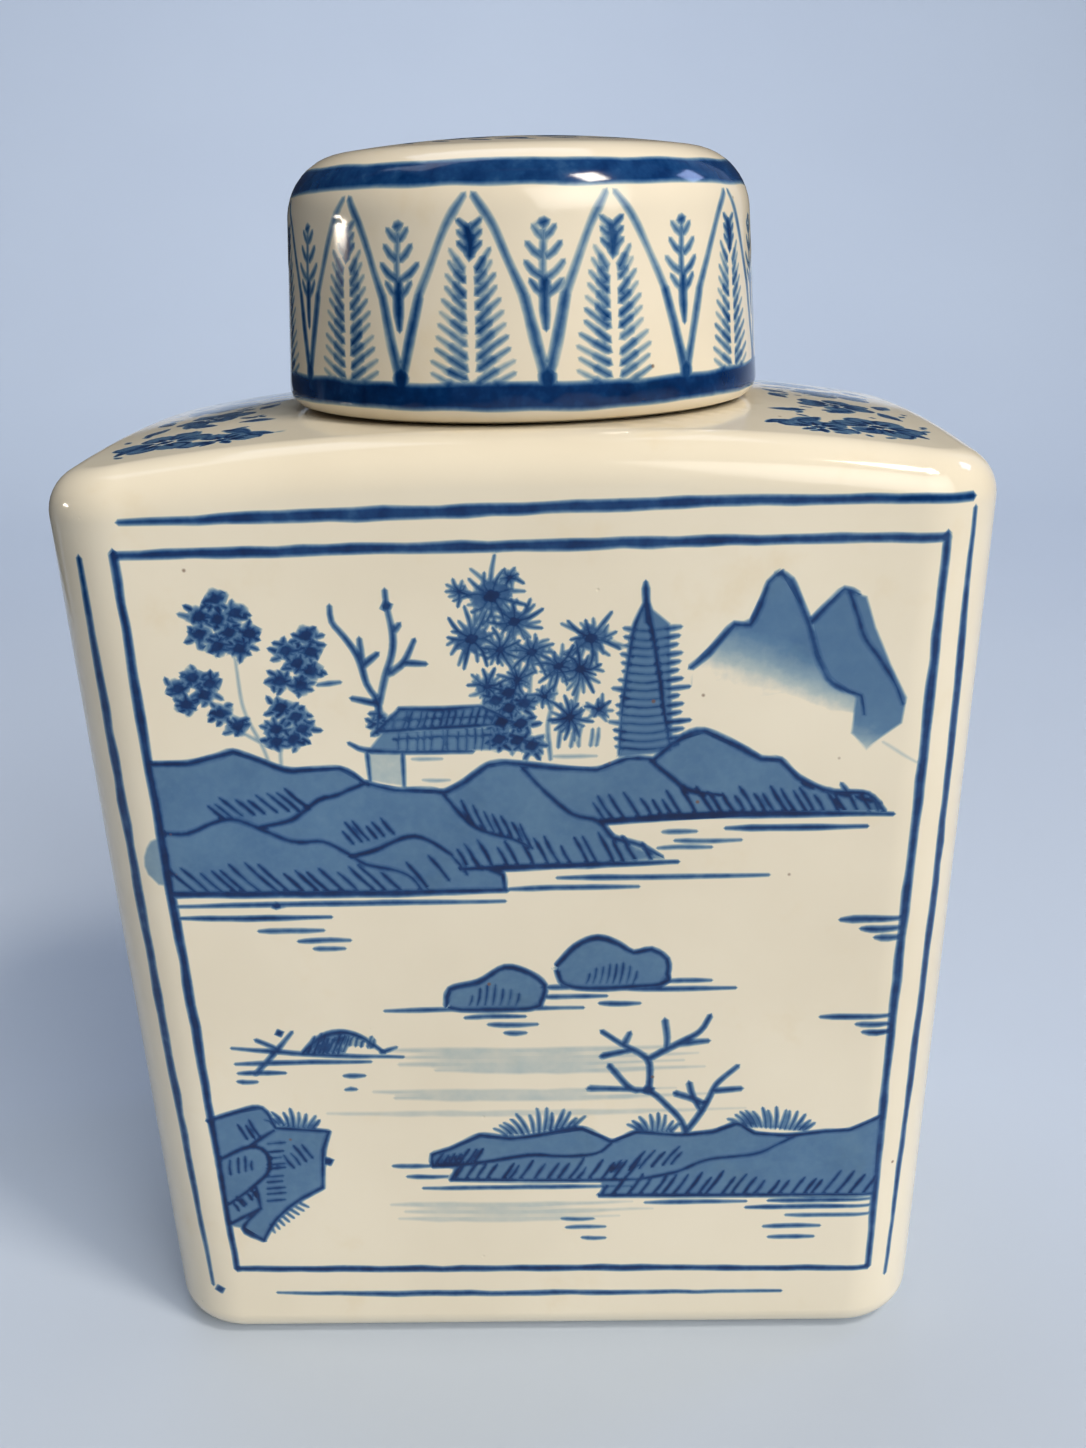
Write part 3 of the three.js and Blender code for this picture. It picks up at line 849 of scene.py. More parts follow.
# %% Near bank at the foot on the right
bank_top = [(-15.3, 29.6), (-15.3, 31.5), (-12.7, 32.4), (-8.2, 34.5), (-3.9, 34), (0.5, 34.5), (6.6, 35.5),
            (10.9, 33.4), (14.4, 34.8), (20.2, 34.3), (25.5, 34.7), (28.9, 36), (31.5, 34.4), (36, 34),
            (41.7, 34.6), (45.2, 34.8), (49.4, 36.8)]
wash(walls, bank_top + [(49.4, 24), (9.5, 24.3), (9.3, 26.9), (-12.5, 27.2), (-12.4, 29.2)], 0.92,
     smooth=False)
stroke(walls, bank_top, 0.62, 0.98, (0.8, 0.8))
for edge in [
    [(-15.4, 29.6), (-8.4, 30.1), (-1.2, 31.2), (4, 31), (8.6, 31.4), (10.9, 33.1)],
    [(14.9, 27), (20.3, 28.2), (24.6, 30.1), (31.7, 31), (34.8, 32.5), (37.8, 34.1)],
    [(-12.8, 27.3), (0, 27), (15, 27)], [(-12.8, 27.3), (-11.4, 29.4)], [(9, 24.4), (28, 24.2), (49.4, 24)],
    [(9.2, 24.4), (10.2, 26)],
]:
    stroke(walls, edge, 0.64, 0.98, (0.8, 0.7))
hatch(walls, (-12, 27.6), (12.6, 27.3), 16, (1.7, 2.5))
hatch(walls, (11.4, 24.6), (47.6, 24.4), 22, (1.9, 2.9))
hatch(walls, (-14.8, 29.8), (-9.4, 30.3), 7, (1.2, 1.8), 0.75)
hatch(walls, (11.2, 28.4), (20, 29.6), 6, (1.9, 2.4))
tuft(walls, (-4.4, 34.6), (5.2, 35.8), 13, 2.9)
tuft(walls, (14.8, 35.1), (19.4, 34.9), 8, 2.3)
tuft(walls, (29.6, 35.8), (38.6, 34.9), 14, 2.7)
branches(walls, BARE_TREE, (21.5, 34.6))
dot(walls, (16, 41.6), 1.5, 0.9)
water(walls, [(-17, 14, 25.9), (-19.2, -13.2, 27.9), (-21.2, -15.6, 29.7), (15.8, 30.8, 23.1)], 0.48, 0.85)
water(walls, [(34, 49.2, 23.2), (30.8, 49.2, 22.1), (36.8, 49.2, 20.7), (33.6, 42, 18.8), (34.4, 41.2, 17)],
      0.5, 0.85)
water(walls, [(3.4, 8.2, 20.5), (4, 9.9, 19), (6.4, 9.9, 17.2)], 0.42, 0.8)
tally(walls, "the near bank")

# %% [markdown]
# ## The ends and the back
# These sides aren't in the picture that the jar was rebuilt from. They get the same double frame and the
# same marks, in a plainer scene. The back has a low shore with peaks, two rocks and a bank with a bare
# tree. Each end has a ridge and a bank with such a tree.

# %% The double frame of a hidden side
def double_frame(sheet, outer, inner, top):
    """Two ruled frames, the outer one open at its corners."""
    rule(sheet, [(-outer + 4, top + 4), (0, top + 4.4), (outer - 1, top + 4.2)], 1.05, 0.9, (0.3, 0.5))
    rule(sheet, [(-outer + 2, 7.6), (0, 7.5), (outer - 5, 7.4)], 0.6, 0.85, (0.3, 0.3))
    for side in [-1, 1]:
        rule(sheet, [(side * outer, top + 1.5), (side * (outer - 0.3), 60), (side * (outer - 1), 10)], 0.85,
             0.9, (0.4, 0.3))
        rule(sheet, [(side * inner, top + 0.2), (side * (inner - 0.2), 60), (side * (inner - 0.6), 12)],
             1.0)
    rule(sheet, [(-inner, top), (0, top + 0.2), (inner, top)], 1.1)
    rule(sheet, [(-inner + 0.6, 12.2), (0, 12), (inner - 0.6, 12.1)], 0.85)


walls.origin = (half_run, 0)
double_frame(walls, 53.5, 49.4, 116)
tally(walls, "the back's frame")

# %% A low shore on the back
low_shore = [(-49.2, 84), (-42, 87.4), (-35, 88.2), (-29, 86.6), (-22, 90.6), (-15, 92.4), (-8, 90.2),
             (-1, 87.2), (6, 84.6), (15, 82.6)]
wash(walls, low_shore + [(14, 81.6), (-12, 79.2), (-49.2, 78.8)], 0.9, smooth=False)
stroke(walls, low_shore, 0.52, 0.92, (0.8, 0.5))
stroke(walls, [(-49.2, 78.8), (-12, 79.1), (15, 81.8)], 0.7, 0.92, (0.8, 0.4))
stroke(walls, [(-29, 86.6), (-24, 84.4), (-19, 83.8)], 0.5)
hatch(walls, (-45, 79.4), (6, 81), 24, (-2, 2.8))
peaks = [(14, 100), (19, 105.4), (22, 106), (26, 111.4), (30, 105.8), (33, 102.6), (38, 106),
         (43, 99.4), (47, 96)]
wash(walls, peaks + [(44, 93.6), (32, 96.8), (20, 97)], 0.85, ((29, 104), (26, 96.6)), smooth=False)
stroke(walls, peaks, 0.55, 0.85)
water(walls, [(-49, -12, 76.8), (-47, -27, 75.2), (-10, 22, 77.6), (20, 38, 74.8), (-38, -30, 73.6)])
rock(walls, TWIN_ROCK, (-14, 55), 1.05)
rock(walls, LONG_ROCK, (17, 47), 1.0, True)
water(walls, [(-27, 1, 54.6), (-20, -8, 53.2), (6, 30, 46.6), (10, 24, 45.2), (-16, -10, 51.8)])
near_bank = [(-49.2, 33), (-42, 34.8), (-33, 34.2), (-26, 36), (-17, 34.6), (-8, 35.2), (0, 33),
             (9, 32.4), (14, 30)]
wash(walls, near_bank + [(12, 26.6), (-20, 25.6), (-49, 25.2)], 0.92, smooth=False)
stroke(walls, near_bank, 0.52, 0.92)
stroke(walls, [(-49, 25.2), (-20, 25.6), (12, 26.6), (14, 30)], 0.6, 0.92)
hatch(walls, (-46, 25.6), (9, 26.8), 24, (1.6, 2.5))
tuft(walls, (-40, 35), (-31, 34.6), 10, 2.6)
tuft(walls, (-12, 35), (-4, 34.4), 9, 2.4)
branches(walls, BARE_TREE, (-24, 35.6), 1.1, True)
water(walls, [(14, 34, 26.4), (18, 30, 24.6), (-8, 16, 23.4), (30, 46, 20.8), (34, 44, 19.2)])
tally(walls, "the back")

# %% A bank and a ridge on each end
for side in [-1, 1]:
    walls.origin = (side * (front_half + corner_length + side_half), 0)
    double_frame(walls, 27.6, 23.6, 108.5)
    bank = placed([(-23.4, 32), (-16, 34.6), (-8, 34), (0, 36.4), (8, 34.2), (15, 31), (19, 28.4)], (0, 0),
                  1, side < 0)
    foot = placed([(17, 25), (0, 24.2), (-23.4, 24.6)], (0, 0), 1, side < 0)
    wash(walls, bank + foot, 0.92, smooth=False)
    stroke(walls, bank, 0.52, 0.92)
    stroke(walls, foot, 0.6, 0.92)
    hatch(walls, (-20 * side, 25), (13 * side, 25.4), 13, (1.7 * side, 2.5))
    tuft(walls, (-8, 34.6), (-1, 35.8), 8, 2.4)
    branches(walls, BARE_TREE, (4 * side, 35), 1.35, side < 0, 0.7)
    ridge = placed([(-23.4, 82), (-15, 86.6), (-9, 85.4), (-2, 89.6), (5, 87), (13, 82.6)], (0, 0),
                   1, side < 0)
    wash(walls, ridge + placed([(4, 80.4), (-23.4, 79.4)], (0, 0), 1, side < 0), 0.88, smooth=False)
    stroke(walls, ridge, 0.52, 0.9)
    hatch(walls, (-20 * side, 80), (4 * side, 80.8), 10, (-1.8 * side, 2.6))
    water(walls, [(-22, 6, 77.6), (-16, 12, 75.8), (-4, 20, 66), (4, 18, 64.2), (-18, 2, 21.6),
                  (-12, -2, 19.8)])
walls.origin = (0, 0)
tally(walls, "the ends")

# %% [markdown]
# ## Flowers on the shoulder and the crown, tall leaves round the lid
# The shoulder carries a patch of flowers and leaves on each side of the lid, and a plain strip in front of
# it. The lid has eleven pointed panels, each with a fern-like leaf, and a sprig in each gap. On the wheel
# the painter paced these out by eye, so their spacing is uneven.

# %% A flower and a leaf
def flower(sheet, at, size, petals=6, load=0.9):
    """An open flower: petals of wash with an outline and a dark vein each, round a dark eye."""
    turn = brush.uniform(0, 6)
    for k in range(petals):
        angle = turn + 2 * math.pi * (k + brush.uniform(-0.15, 0.15)) / petals
        way = pointing(angle)
        across = to_the_left(way)
        at = np.array(at, float)
        reach = size * brush.uniform(0.88, 1.1)
        shape = [(0.3, 0.12), (0.72, 0.33), (1, 0.1)]
        side = [at + way * reach * along + across * size * out for along, out in shape]
        other = [at + way * reach * along - across * size * out for along, out in shape[::-1]]
        wash(sheet, side + other, brush.uniform(1.0, 1.4))
        stroke(sheet, side + other[:1], 0.5, load)
        stroke(sheet, [at + way * size * 0.3, at + way * size * 0.62], 0.9, load, (1.1, 0.4))
    dot(sheet, at, size * 0.3, 1.0)


def leaf(sheet, at, angle, length, load=0.85):
    """A small pointed leaf with a vein."""
    at = np.array(at, float)
    way = pointing(angle)
    across = to_the_left(way)
    upper = at + way * length * 0.4 + across * length * 0.22
    lower = at + way * length * 0.45 - across * length * 0.2
    ring = [at, upper, at + way * length, lower]
    wash(sheet, ring, 1.3)
    stroke(sheet, [ring[0], ring[1], ring[2]], 0.55, load, (0.8, 0.4))
    stroke(sheet, [at, at + way * length * 0.75], 0.6, load, (1.2, 0.4))


print("flower marks:", flower.__name__, leaf.__name__)

# %% Flowers on the shoulder and the crown
flowers_from = 34.5
shoulder = Painting()
for side in [-1, 1]:
    for x, y, size in [(44, -22, 6), (36, -26.5, 4.8), (41.5, -6.5, 5.2), (43.5, 8, 5.6), (40, 22, 5.4),
                       (32.5, 27, 3.6)]:
        flower(shoulder, (side * x, y), size, 6, 1.05)
    for x, y, angle, length in [
        (49, -26, 2.2, 5), (40.5, -29.5, 3.4, 5.4), (33, -30, 3.0, 5), (30, -25.5, 0.6, 4.6),
        (37, -19.5, 3.9, 5.4), (36, -14, 3.4, 4.6), (48.5, -13.6, 1.9, 5), (39.6, -14, 0.7, 5),
        (35.4, -3, 1.9, 4.4), (47.8, -5, 1.2, 5), (36.4, 3.2, 2.2, 4.6), (38.4, 12.6, 3.4, 4.8),
        (48.8, 15, 1.7, 5.4), (34.8, 17, 2.6, 4.8), (46.4, 24.4, 0.9, 4.6), (38, 29, 3.2, 4.6),
        (45.5, 28, 2.4, 4), (29.5, 23, 2.6, 3.6),
    ]:
        leaf(shoulder, (side * x, y), angle if side > 0 else math.pi - angle, length)
    for k in range(70):
        x, y = brush.uniform(33, 51), brush.uniform(-30, 31)
        if math.hypot(x, y) > flowers_from:
            end = (side * (x + brush.uniform(-1.6, 1.6)), y + brush.uniform(-1.4, 1.4))
            stroke(shoulder, [(side * x, y), end], 0.7, 0.8)
tally(shoulder, "the shoulder's flowers")

crown = Painting()
flower(crown, (0, 0), 7.5, 8)
for k in range(8):
    angle = 2 * math.pi * (k + 0.5) / 8
    flower(crown, (13.4 * math.cos(angle), 13.4 * math.sin(angle)), 3.9, 5)
    for turn, reach in [(-0.32, 18.5), (0.32, 18.5), (-0.2, 9), (0.2, 9)]:
        place = (reach * math.cos(angle + turn), reach * math.sin(angle + turn))
        leaf(crown, place, angle + turn + math.copysign(1.9, turn), 3.4)
for k in range(24):
    angle = 2 * math.pi * k / 24
    start = (18.6 * math.cos(angle), 18.6 * math.sin(angle))
    end = (20 * math.cos(angle + 0.13), 20 * math.sin(angle + 0.13))
    stroke(crown, [start, end], 0.9, 0.9)
tally(crown, "the crown's flowers")

# %% Marks of a pointed panel
lid_art = Painting(0.78)
lid_run = math.pi * paint_radius


def at_lid(angle, height):
    """Degrees from the front and mm above the rim, as a place on the unrolled side of the lid."""
    return (math.radians(angle) * paint_radius, lid_up(height))


def panel_leaf(angle, width):
    """A fern-like leaf: a dark tip, and two rows of strokes beside a bare spine."""
    stroke(lid_art, [at_lid(angle - 0.4, 21.8), at_lid(angle + 0.3, 20.4), at_lid(angle, 18.8)], 1.3,
           0.9, (0.8, 0.7))
    for height in [21.8, 20.6, 19.4]:
        for side in [-1, 1]:
            stroke(lid_art, [at_lid(angle + side * 2.4, height + 0.9), at_lid(angle + side * 0.4, height)],
                   0.5, 0.8, (0.5, 1.0))
    for row in range(11):
        height = 3.9 + row * 1.36
        reach = width * (1 - row / 15) * brush.uniform(0.9, 1.05)
        for side in [-1, 1]:
            root = at_lid(angle + side * 1.6, height + brush.uniform(-0.2, 0.2))
            middle = at_lid(angle + side * (1.8 + reach * 0.45), height + 1.0)
            tip = at_lid(angle + side * (1.8 + reach), height + 2.1)
            stroke(lid_art, [root, middle], 0.6, brush.uniform(0.62, 0.85), (1.2, 0.9), 0)
            stroke(lid_art, [middle, tip], 0.36, brush.uniform(0.36, 0.58), (1.0, 0.4), 0)


def panel_side(apex, foot, bulge):
    """One side of a pointed panel, from its apex down to the gap's foot."""
    course = [(0.06, 0, 25.4), (0.3, 0, 22.4), (0.56, 0.1, 17.6), (0.74, 0.6, 14.6), (0.86, 0.9, 11),
              (0.96, 0.5, 7), (1.0, 0, 5)]
    points = [at_lid(apex + (foot - apex) * along + bulge * out, height) for along, out, height in course]
    stroke(lid_art, points[:4], 0.7, 0.55, (0.7, 1.1))
    stroke(lid_art, points[3:], 0.95, 0.66, (1.0, 1.2))


print("the lid is", round(2 * lid_run, 1), "mm round where it is painted")

# %% Eleven panels round the lid
panels = [-40.6, -9.1, 22, 58.9, 91.5, 124, 156.6, 189.2, 221.7, 254.3, 286.9, 319.4]
for left, right in zip(panels, panels[1:]):
    gap = (left + right) / 2 + brush.uniform(-1, 1)
    turn = -360 if gap > 180 else 0
    panel_leaf(right + (-360 if right > 180 else 0), 7.4)
    panel_side(left + turn, gap + turn, -0.8)
    panel_side(right + turn, gap + turn, 0.8)
    gap += turn
    stroke(lid_art, [at_lid(gap, 5.6), at_lid(gap, 3.6)], 1.7, 0.88, (1.0, 0.6))
    stroke(lid_art, [at_lid(gap, 21.4), at_lid(gap - 0.4, 17), at_lid(gap + 0.2, 12.6)], 0.5, 0.6,
           (0.8, 0.5), 0)
    stroke(lid_art, [at_lid(gap, 16), at_lid(gap - 0.2, 13.6), at_lid(gap, 10.8)], 1.0, 0.8, (0.9, 0.3), 0)
    dot(lid_art, at_lid(gap, 22.3), 1.1, 0.7)
    for side in [-1, 1]:
        for height, reach, rise in [(20.8, 2.6, 1.1), (18.6, 3.4, 1.5), (16.4, 4.4, 1.7), (14.6, 3.4, 1.5)]:
            reach *= brush.uniform(0.85, 1.1)
            root = at_lid(gap + side * 0.6, height)
            middle = at_lid(gap + side * reach * 0.6, height + rise * 0.4)
            tip = at_lid(gap + side * reach, height + rise)
            stroke(lid_art, [root, middle, tip], 0.55, 0.68, (0.8, 0.5), 0)
        stem = [at_lid(gap + side * 4.4, 14), at_lid(gap + side * 3.2, 10), at_lid(gap + side * 1.4, 6.4)]
        stroke(lid_art, stem, 0.4, 0.4, (0.4, 1.0))
tally(lid_art, "the panels")

# %% Two bands round the lid
def band(sheet, low, high, load=0.97):
    """A solid band all round, whose edges meet where it closes."""
    spots = np.arange(-lid_run - 4, lid_run + 4, 1.0)
    turns = spots / paint_radius
    wave = 0.1 * np.sin(3 * turns + low) + 0.07 * np.sin(8 * turns + 2) + 0.05 * np.sin(21 * turns)
    swell = 0.07 * np.sin(5 * turns + 1) + 0.05 * np.sin(17 * turns + low)
    line = np.stack([spots, (low + high) / 2 + wave], axis=1)
    sheet.strokes.append((line, (high - low) / 2 + sheet.bleed + swell, load))


band(lid_art, lid_up(1.9), lid_up(4.7))
turn_start = lid_up(lid_side)
# The upper band gets less cobalt so that it shows paler: painted light, standing for the light from above
# that falls on the lid's rounding.
band(lid_art, turn_start + 3.6, turn_start + 6.8, 0.82)
past_seam = lid_run + 2
for line, reach, load in list(lid_art.strokes):
    goes_round = np.ptp(line[:, 0]) > lid_run
    for shift in [-2 * lid_run, 2 * lid_run]:
        moved = line + (shift, 0)
        if not goes_round and moved[:, 0].min() < past_seam and moved[:, 0].max() > -past_seam:
            lid_art.strokes.append((moved, reach, load))
tally(lid_art, "the bands and what crosses the seam")

# %% [markdown]
# ## Wrapping the sheets
# Each sheet is cut, read for its paint, and wrapped. A sheet's border has the same points as its
# neighbour's, so the sheets weld into one skin. What isn't painted, such as the foot, the neck and the
# inside, is then pulled out of the skin's open edges with bmesh operators: extrude a loop, move it, and
# close the last one.

# %% Wrap a sheet on to its form
PAINTS = ["line", "wash"]


def wrapped(bm, sheet, borders, inside, grid, form):
    """Cut a sheet, wrap it on to its form, and add it to a bmesh with its paint."""
    flat, faces = cut_sheet(sheet, borders, inside, grid)
    used = np.zeros(len(flat), bool)
    used[faces.ravel()] = True
    places = form(flat) * MM
    nudge = 0.02
    right = form(flat + (nudge, 0)) - form(flat - (nudge, 0))
    up = form(flat + (0, nudge)) - form(flat - (0, nudge))
    outward = np.cross(right, up)
    outward = outward / np.linalg.norm(outward, axis=1)[:, None]
    paints = paint_at(sheet, flat)
    layers = [bm.verts.layers.float.get(name) or bm.verts.layers.float.new(name) for name in PAINTS]
    facing = bm.verts.layers.float_vector.get("facing") or bm.verts.layers.float_vector.new("facing")
    painted = bm.faces.layers.int.get("painted") or bm.faces.layers.int.new("painted")
    verts = {}
    for k in np.flatnonzero(used):
        vert = bm.verts.new(places[k])
        vert[facing] = outward[k]
        for layer, values in zip(layers, paints):
            vert[layer] = values[k]
        verts[k] = vert
    for a, b, c in faces:
        face = bm.faces.new((verts[a], verts[b], verts[c]))
        face[painted] = 1
    print("  sheet of", len(verts), "points and", len(faces), "triangles")


print("each sheet hands on", PAINTS)

# %% Pull rings out of an open edge
def open_edges(bm, test):
    """The skin's open edges whose middle passes a test."""
    return [e for e in bm.edges if e.is_boundary and test((e.verts[0].co + e.verts[1].co) / 2 / MM)]


def pulled(bm, edges, place_of):
    """Extrude a loop of edges and move each new point to its place; returns the new loop."""
    new = bmesh.ops.extrude_edge_only(bm, edges=edges)["geom"]
    for vert in [v for v in new if isinstance(v, bmesh.types.BMVert)]:
        vert.co = place_of(vert)
    return [e for e in new if isinstance(e, bmesh.types.BMEdge)]


def turned_profile(bm, edges, profile):
    """Pull a round loop through the rings of a profile of (radius, height) in mm."""
    for radius, height in profile:
        def ring(vert, radius=radius, height=height):
            x, y = vert.co.xy
            size = math.hypot(x, y)
            return Vector((x / size * radius * MM, y / size * radius * MM, height * MM))
        edges = pulled(bm, edges, ring)
    return edges


print("rings are pulled by", pulled.__name__, "and", turned_profile.__name__)

# %% Turn a mesh into a finished piece
SHARP = math.radians(35)


def in_scene(name, data):
    """An object of some data, put in the scene."""
    thing = bpy.data.objects.new(name, data)
    bpy.context.scene.collection.objects.link(thing)
    return thing


def read_all(items, field, values):
    """Fill an array with one field of all the corners, points or faces of a mesh."""
    items.foreach_get(field, values.ravel())
    return values


def finished(bm, name, materials, node):
    """Turn a bmesh into a piece, smooth, and with the forms' own normals on its painted skin."""
    bmesh.ops.recalc_face_normals(bm, faces=bm.faces)
    for edge in bm.edges:
        if len(edge.link_faces) == 2 and edge.calc_face_angle(0) > SHARP:
            edge.smooth = False
    for face in bm.faces:
        face.smooth = True
    open_count = sum(1 for e in bm.edges if len(e.link_faces) != 2)
    mesh = bpy.data.meshes.new(name)
    bm.to_mesh(mesh)
    bm.free()
    corner = read_all(mesh.corner_normals, "vector", np.empty((len(mesh.loops), 3)))
    facing = read_all(mesh.attributes["facing"].data, "vector", np.empty((len(mesh.vertices), 3)))
    painted = read_all(mesh.attributes["painted"].data, "value", np.empty(len(mesh.polygons), int))
    sizes = np.array([p.loop_total for p in mesh.polygons])
    on_paint = np.repeat(painted, sizes) == 1
    vertex_of = read_all(mesh.loops, "vertex_index", np.empty(len(mesh.loops), int))
    corner[on_paint] = facing[vertex_of][on_paint]
    mesh.normals_split_custom_set(corner)
    mesh.attributes.remove(mesh.attributes["facing"])
    mesh.attributes.remove(mesh.attributes["painted"])
    piece = in_scene(name, mesh)
    for material in materials:
        mesh.materials.append(material)
    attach(piece, "root")
    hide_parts(node)
    triangles = sum(p.loop_total - 2 for p in mesh.polygons)
    print(name, "has", triangles, "triangles and", open_count, "open edges")


print("edges over", round(math.degrees(SHARP)), "degrees stay sharp")

# %% [markdown]
# ## Glazes
# The jar is porcelain under a warm, faintly grey-cream glaze. Cobalt under such a glaze has soft edges,
# pools dark where the brush paused, and turns watery where it ran dry; the wash between the lines is a
# flat, slightly mottled grey-blue. Iron in the clay shows as rare brown specks. The glaze itself is smooth
# glass with a very slight waviness. Everything is made with nodes, and every pattern's scale comes from a
# size in millimetres.

# %% Helpers for materials
def sheet_colour(code):
    """An sRGB hex value as linear colour."""
    parts = [int(code[k:k + 2], 16) / 255 for k in (1, 3, 5)]
    return tuple(p / 12.92 if p <= 0.04045 else ((p + 0.055) / 1.055) ** 2.4 for p in parts) + (1.0,)


def blotch(size):
    """The scale at which a noise's blotches are about this many millimetres across."""
    return 0.6 / (size * MM)


def node(tree, kind, settings=None, **links):
    """Add a node. Its settings are its properties, or a ramp's stops. Its links are inputs by name, or by
    number after an i, each given a value, a socket, or a node whose first output is used."""
    new = tree.nodes.new(kind)
    for key, value in (settings or {}).items():
        if key == "stops":
            for _ in value[2:]:
                new.color_ramp.elements.new(0.5)
            for element, (position, code) in zip(new.color_ramp.elements, value):
                element.position = position
                element.color = sheet_colour(code)
        else:
            setattr(new, key, value)
    for key, value in links.items():
        socket = new.inputs[int(key[1:])] if key[1:].isdigit() else new.inputs[key.replace("_", " ")]
        if isinstance(value, bpy.types.Node):
            value = value.outputs[0]
        if isinstance(value, bpy.types.NodeSocket):
            tree.links.new(value, socket)
        else:
            socket.default_value = value
    return new


def blank_material(name):
    material = bpy.data.materials.new(name)
    material.use_nodes = True
    material.node_tree.nodes.clear()
    return material, material.node_tree


TIMES = {"operation": "MULTIPLY"}
PLUS = {"operation": "ADD"}
SOFT = {"interpolation_type": "SMOOTHSTEP"}
COLOURS = {"data_type": "RGBA"}
print("blotches of 26 mm have a noise scale of", round(blotch(26), 1))

# %% The glazed and painted porcelain
def glazed_porcelain(name, cream_low, cream_high):
    """Underglaze cobalt on porcelain: the more of it, the deeper the blue, under a warm clear glaze."""
    material, tree = blank_material(name)
    place = node(tree, "ShaderNodeTexCoord").outputs["Object"]
    line = node(tree, "ShaderNodeAttribute", {"attribute_name": "line"}).outputs["Fac"]
    thin = node(tree, "ShaderNodeAttribute", {"attribute_name": "wash"}).outputs["Fac"]

    # The glaze over white clay is cream, in slow clouds, with warmer patches where it lies thicker
    slow = node(tree, "ShaderNodeTexNoise", Vector=place, Scale=blotch(26), Detail=3.0)
    cream = node(tree, "ShaderNodeValToRGB", {"stops": [(0.32, cream_low), (0.68, cream_high)]}, Fac=slow)
    patches = node(tree, "ShaderNodeTexNoise", Vector=place, Scale=blotch(7), Detail=4.0, Roughness=0.6)
    warm = node(tree, "ShaderNodeMapRange", SOFT, Value=patches, From_Min=0.56, From_Max=0.8, To_Max=0.35)
    cream = node(tree, "ShaderNodeMix", COLOURS, i0=warm, i6=cream, i7=sheet_colour("#d8c49c")).outputs[2]

    # Brush lines, with edges that the kiln made ragged, and cobalt that pooled here and ran dry there
    fine = node(tree, "ShaderNodeTexNoise", Vector=place, Scale=blotch(0.7), Detail=2.0)
    ragged = node(tree, "ShaderNodeMapRange", Value=fine, To_Min=-0.1, To_Max=0.1)
    full = node(tree, "ShaderNodeMapRange", Value=line, From_Min=0.1, From_Max=0.4)
    torn = node(tree, "ShaderNodeMath", TIMES, i0=ragged, i1=full)
    line = node(tree, "ShaderNodeMath", PLUS, i0=line, i1=torn)
    line = node(tree, "ShaderNodeMapRange", Value=line, From_Min=0.03, From_Max=1.0, To_Max=1.32)
    pools = node(tree, "ShaderNodeTexNoise", Vector=place, Scale=blotch(1.8), Detail=3.0, Roughness=0.6)
    pools = node(tree, "ShaderNodeMapRange", Value=pools, From_Min=0.3, From_Max=0.7,
                 To_Min=0.82, To_Max=1.2)
    line = node(tree, "ShaderNodeMath", TIMES, i0=line, i1=pools)

    # The wash between the lines is even, slightly mottled, and stops softly
    thin = node(tree, "ShaderNodeMath", PLUS, i0=thin, i1=ragged)
    thin = node(tree, "ShaderNodeMapRange", Value=thin, From_Min=0.06, From_Max=0.94)
    mottle = node(tree, "ShaderNodeTexNoise", Vector=place, Scale=blotch(4), Detail=5.0, Roughness=0.62)
    mottle = node(tree, "ShaderNodeMapRange", Value=mottle, From_Min=0.3, From_Max=0.7, To_Min=0.52,
                  To_Max=0.63)
    thin = node(tree, "ShaderNodeMath", TIMES, i0=thin, i1=mottle)

    # Cobalt under glaze filters light: thin it is pale grey-blue, thick it is deep navy
    most = node(tree, "ShaderNodeMath", {"operation": "MAXIMUM"}, i0=line, i1=thin)
    least = node(tree, "ShaderNodeMath", {"operation": "MINIMUM"}, i0=line, i1=thin)
    least = node(tree, "ShaderNodeMath", TIMES, i0=least, i1=0.3)
    cobalt = node(tree, "ShaderNodeMath", PLUS, i0=most, i1=least)
    cobalt = node(tree, "ShaderNodeMath", TIMES, i0=cobalt, i1=0.5)
    tint = node(tree, "ShaderNodeValToRGB", {"stops": [
        (0, "#ffffff"), (0.075, "#c1d7ec"), (0.15, "#91b4da"), (0.25, "#628ec5"), (0.375, "#3a69ac"),
        (0.5, "#174a93"), (0.62, "#04347a"), (0.8, "#01225e")]}, Fac=cobalt)
    painted = node(tree, "ShaderNodeMix", {"data_type": "RGBA", "blend_type": "MULTIPLY"}, i0=1.0, i6=cream,
                   i7=tint).outputs[2]

    # Iron in the clay: brown specks of about half a millimetre, a few centimetres apart
    cells = node(tree, "ShaderNodeTexVoronoi", Vector=place, Scale=1 / (5.5 * MM))
    rare = node(tree, "ShaderNodeSeparateColor", Color=cells.outputs["Color"])
    rare = node(tree, "ShaderNodeMath", {"operation": "GREATER_THAN"}, i0=rare, i1=0.8)
    core = node(tree, "ShaderNodeMapRange", Value=cells, From_Min=0.028, From_Max=0.06,
                To_Min=0.75, To_Max=0.0)
    speck = node(tree, "ShaderNodeMath", TIMES, i0=core, i1=rare)
    painted = node(tree, "ShaderNodeMix", COLOURS, i0=speck, i6=painted,
                   i7=sheet_colour("#6b4a33")).outputs[2]

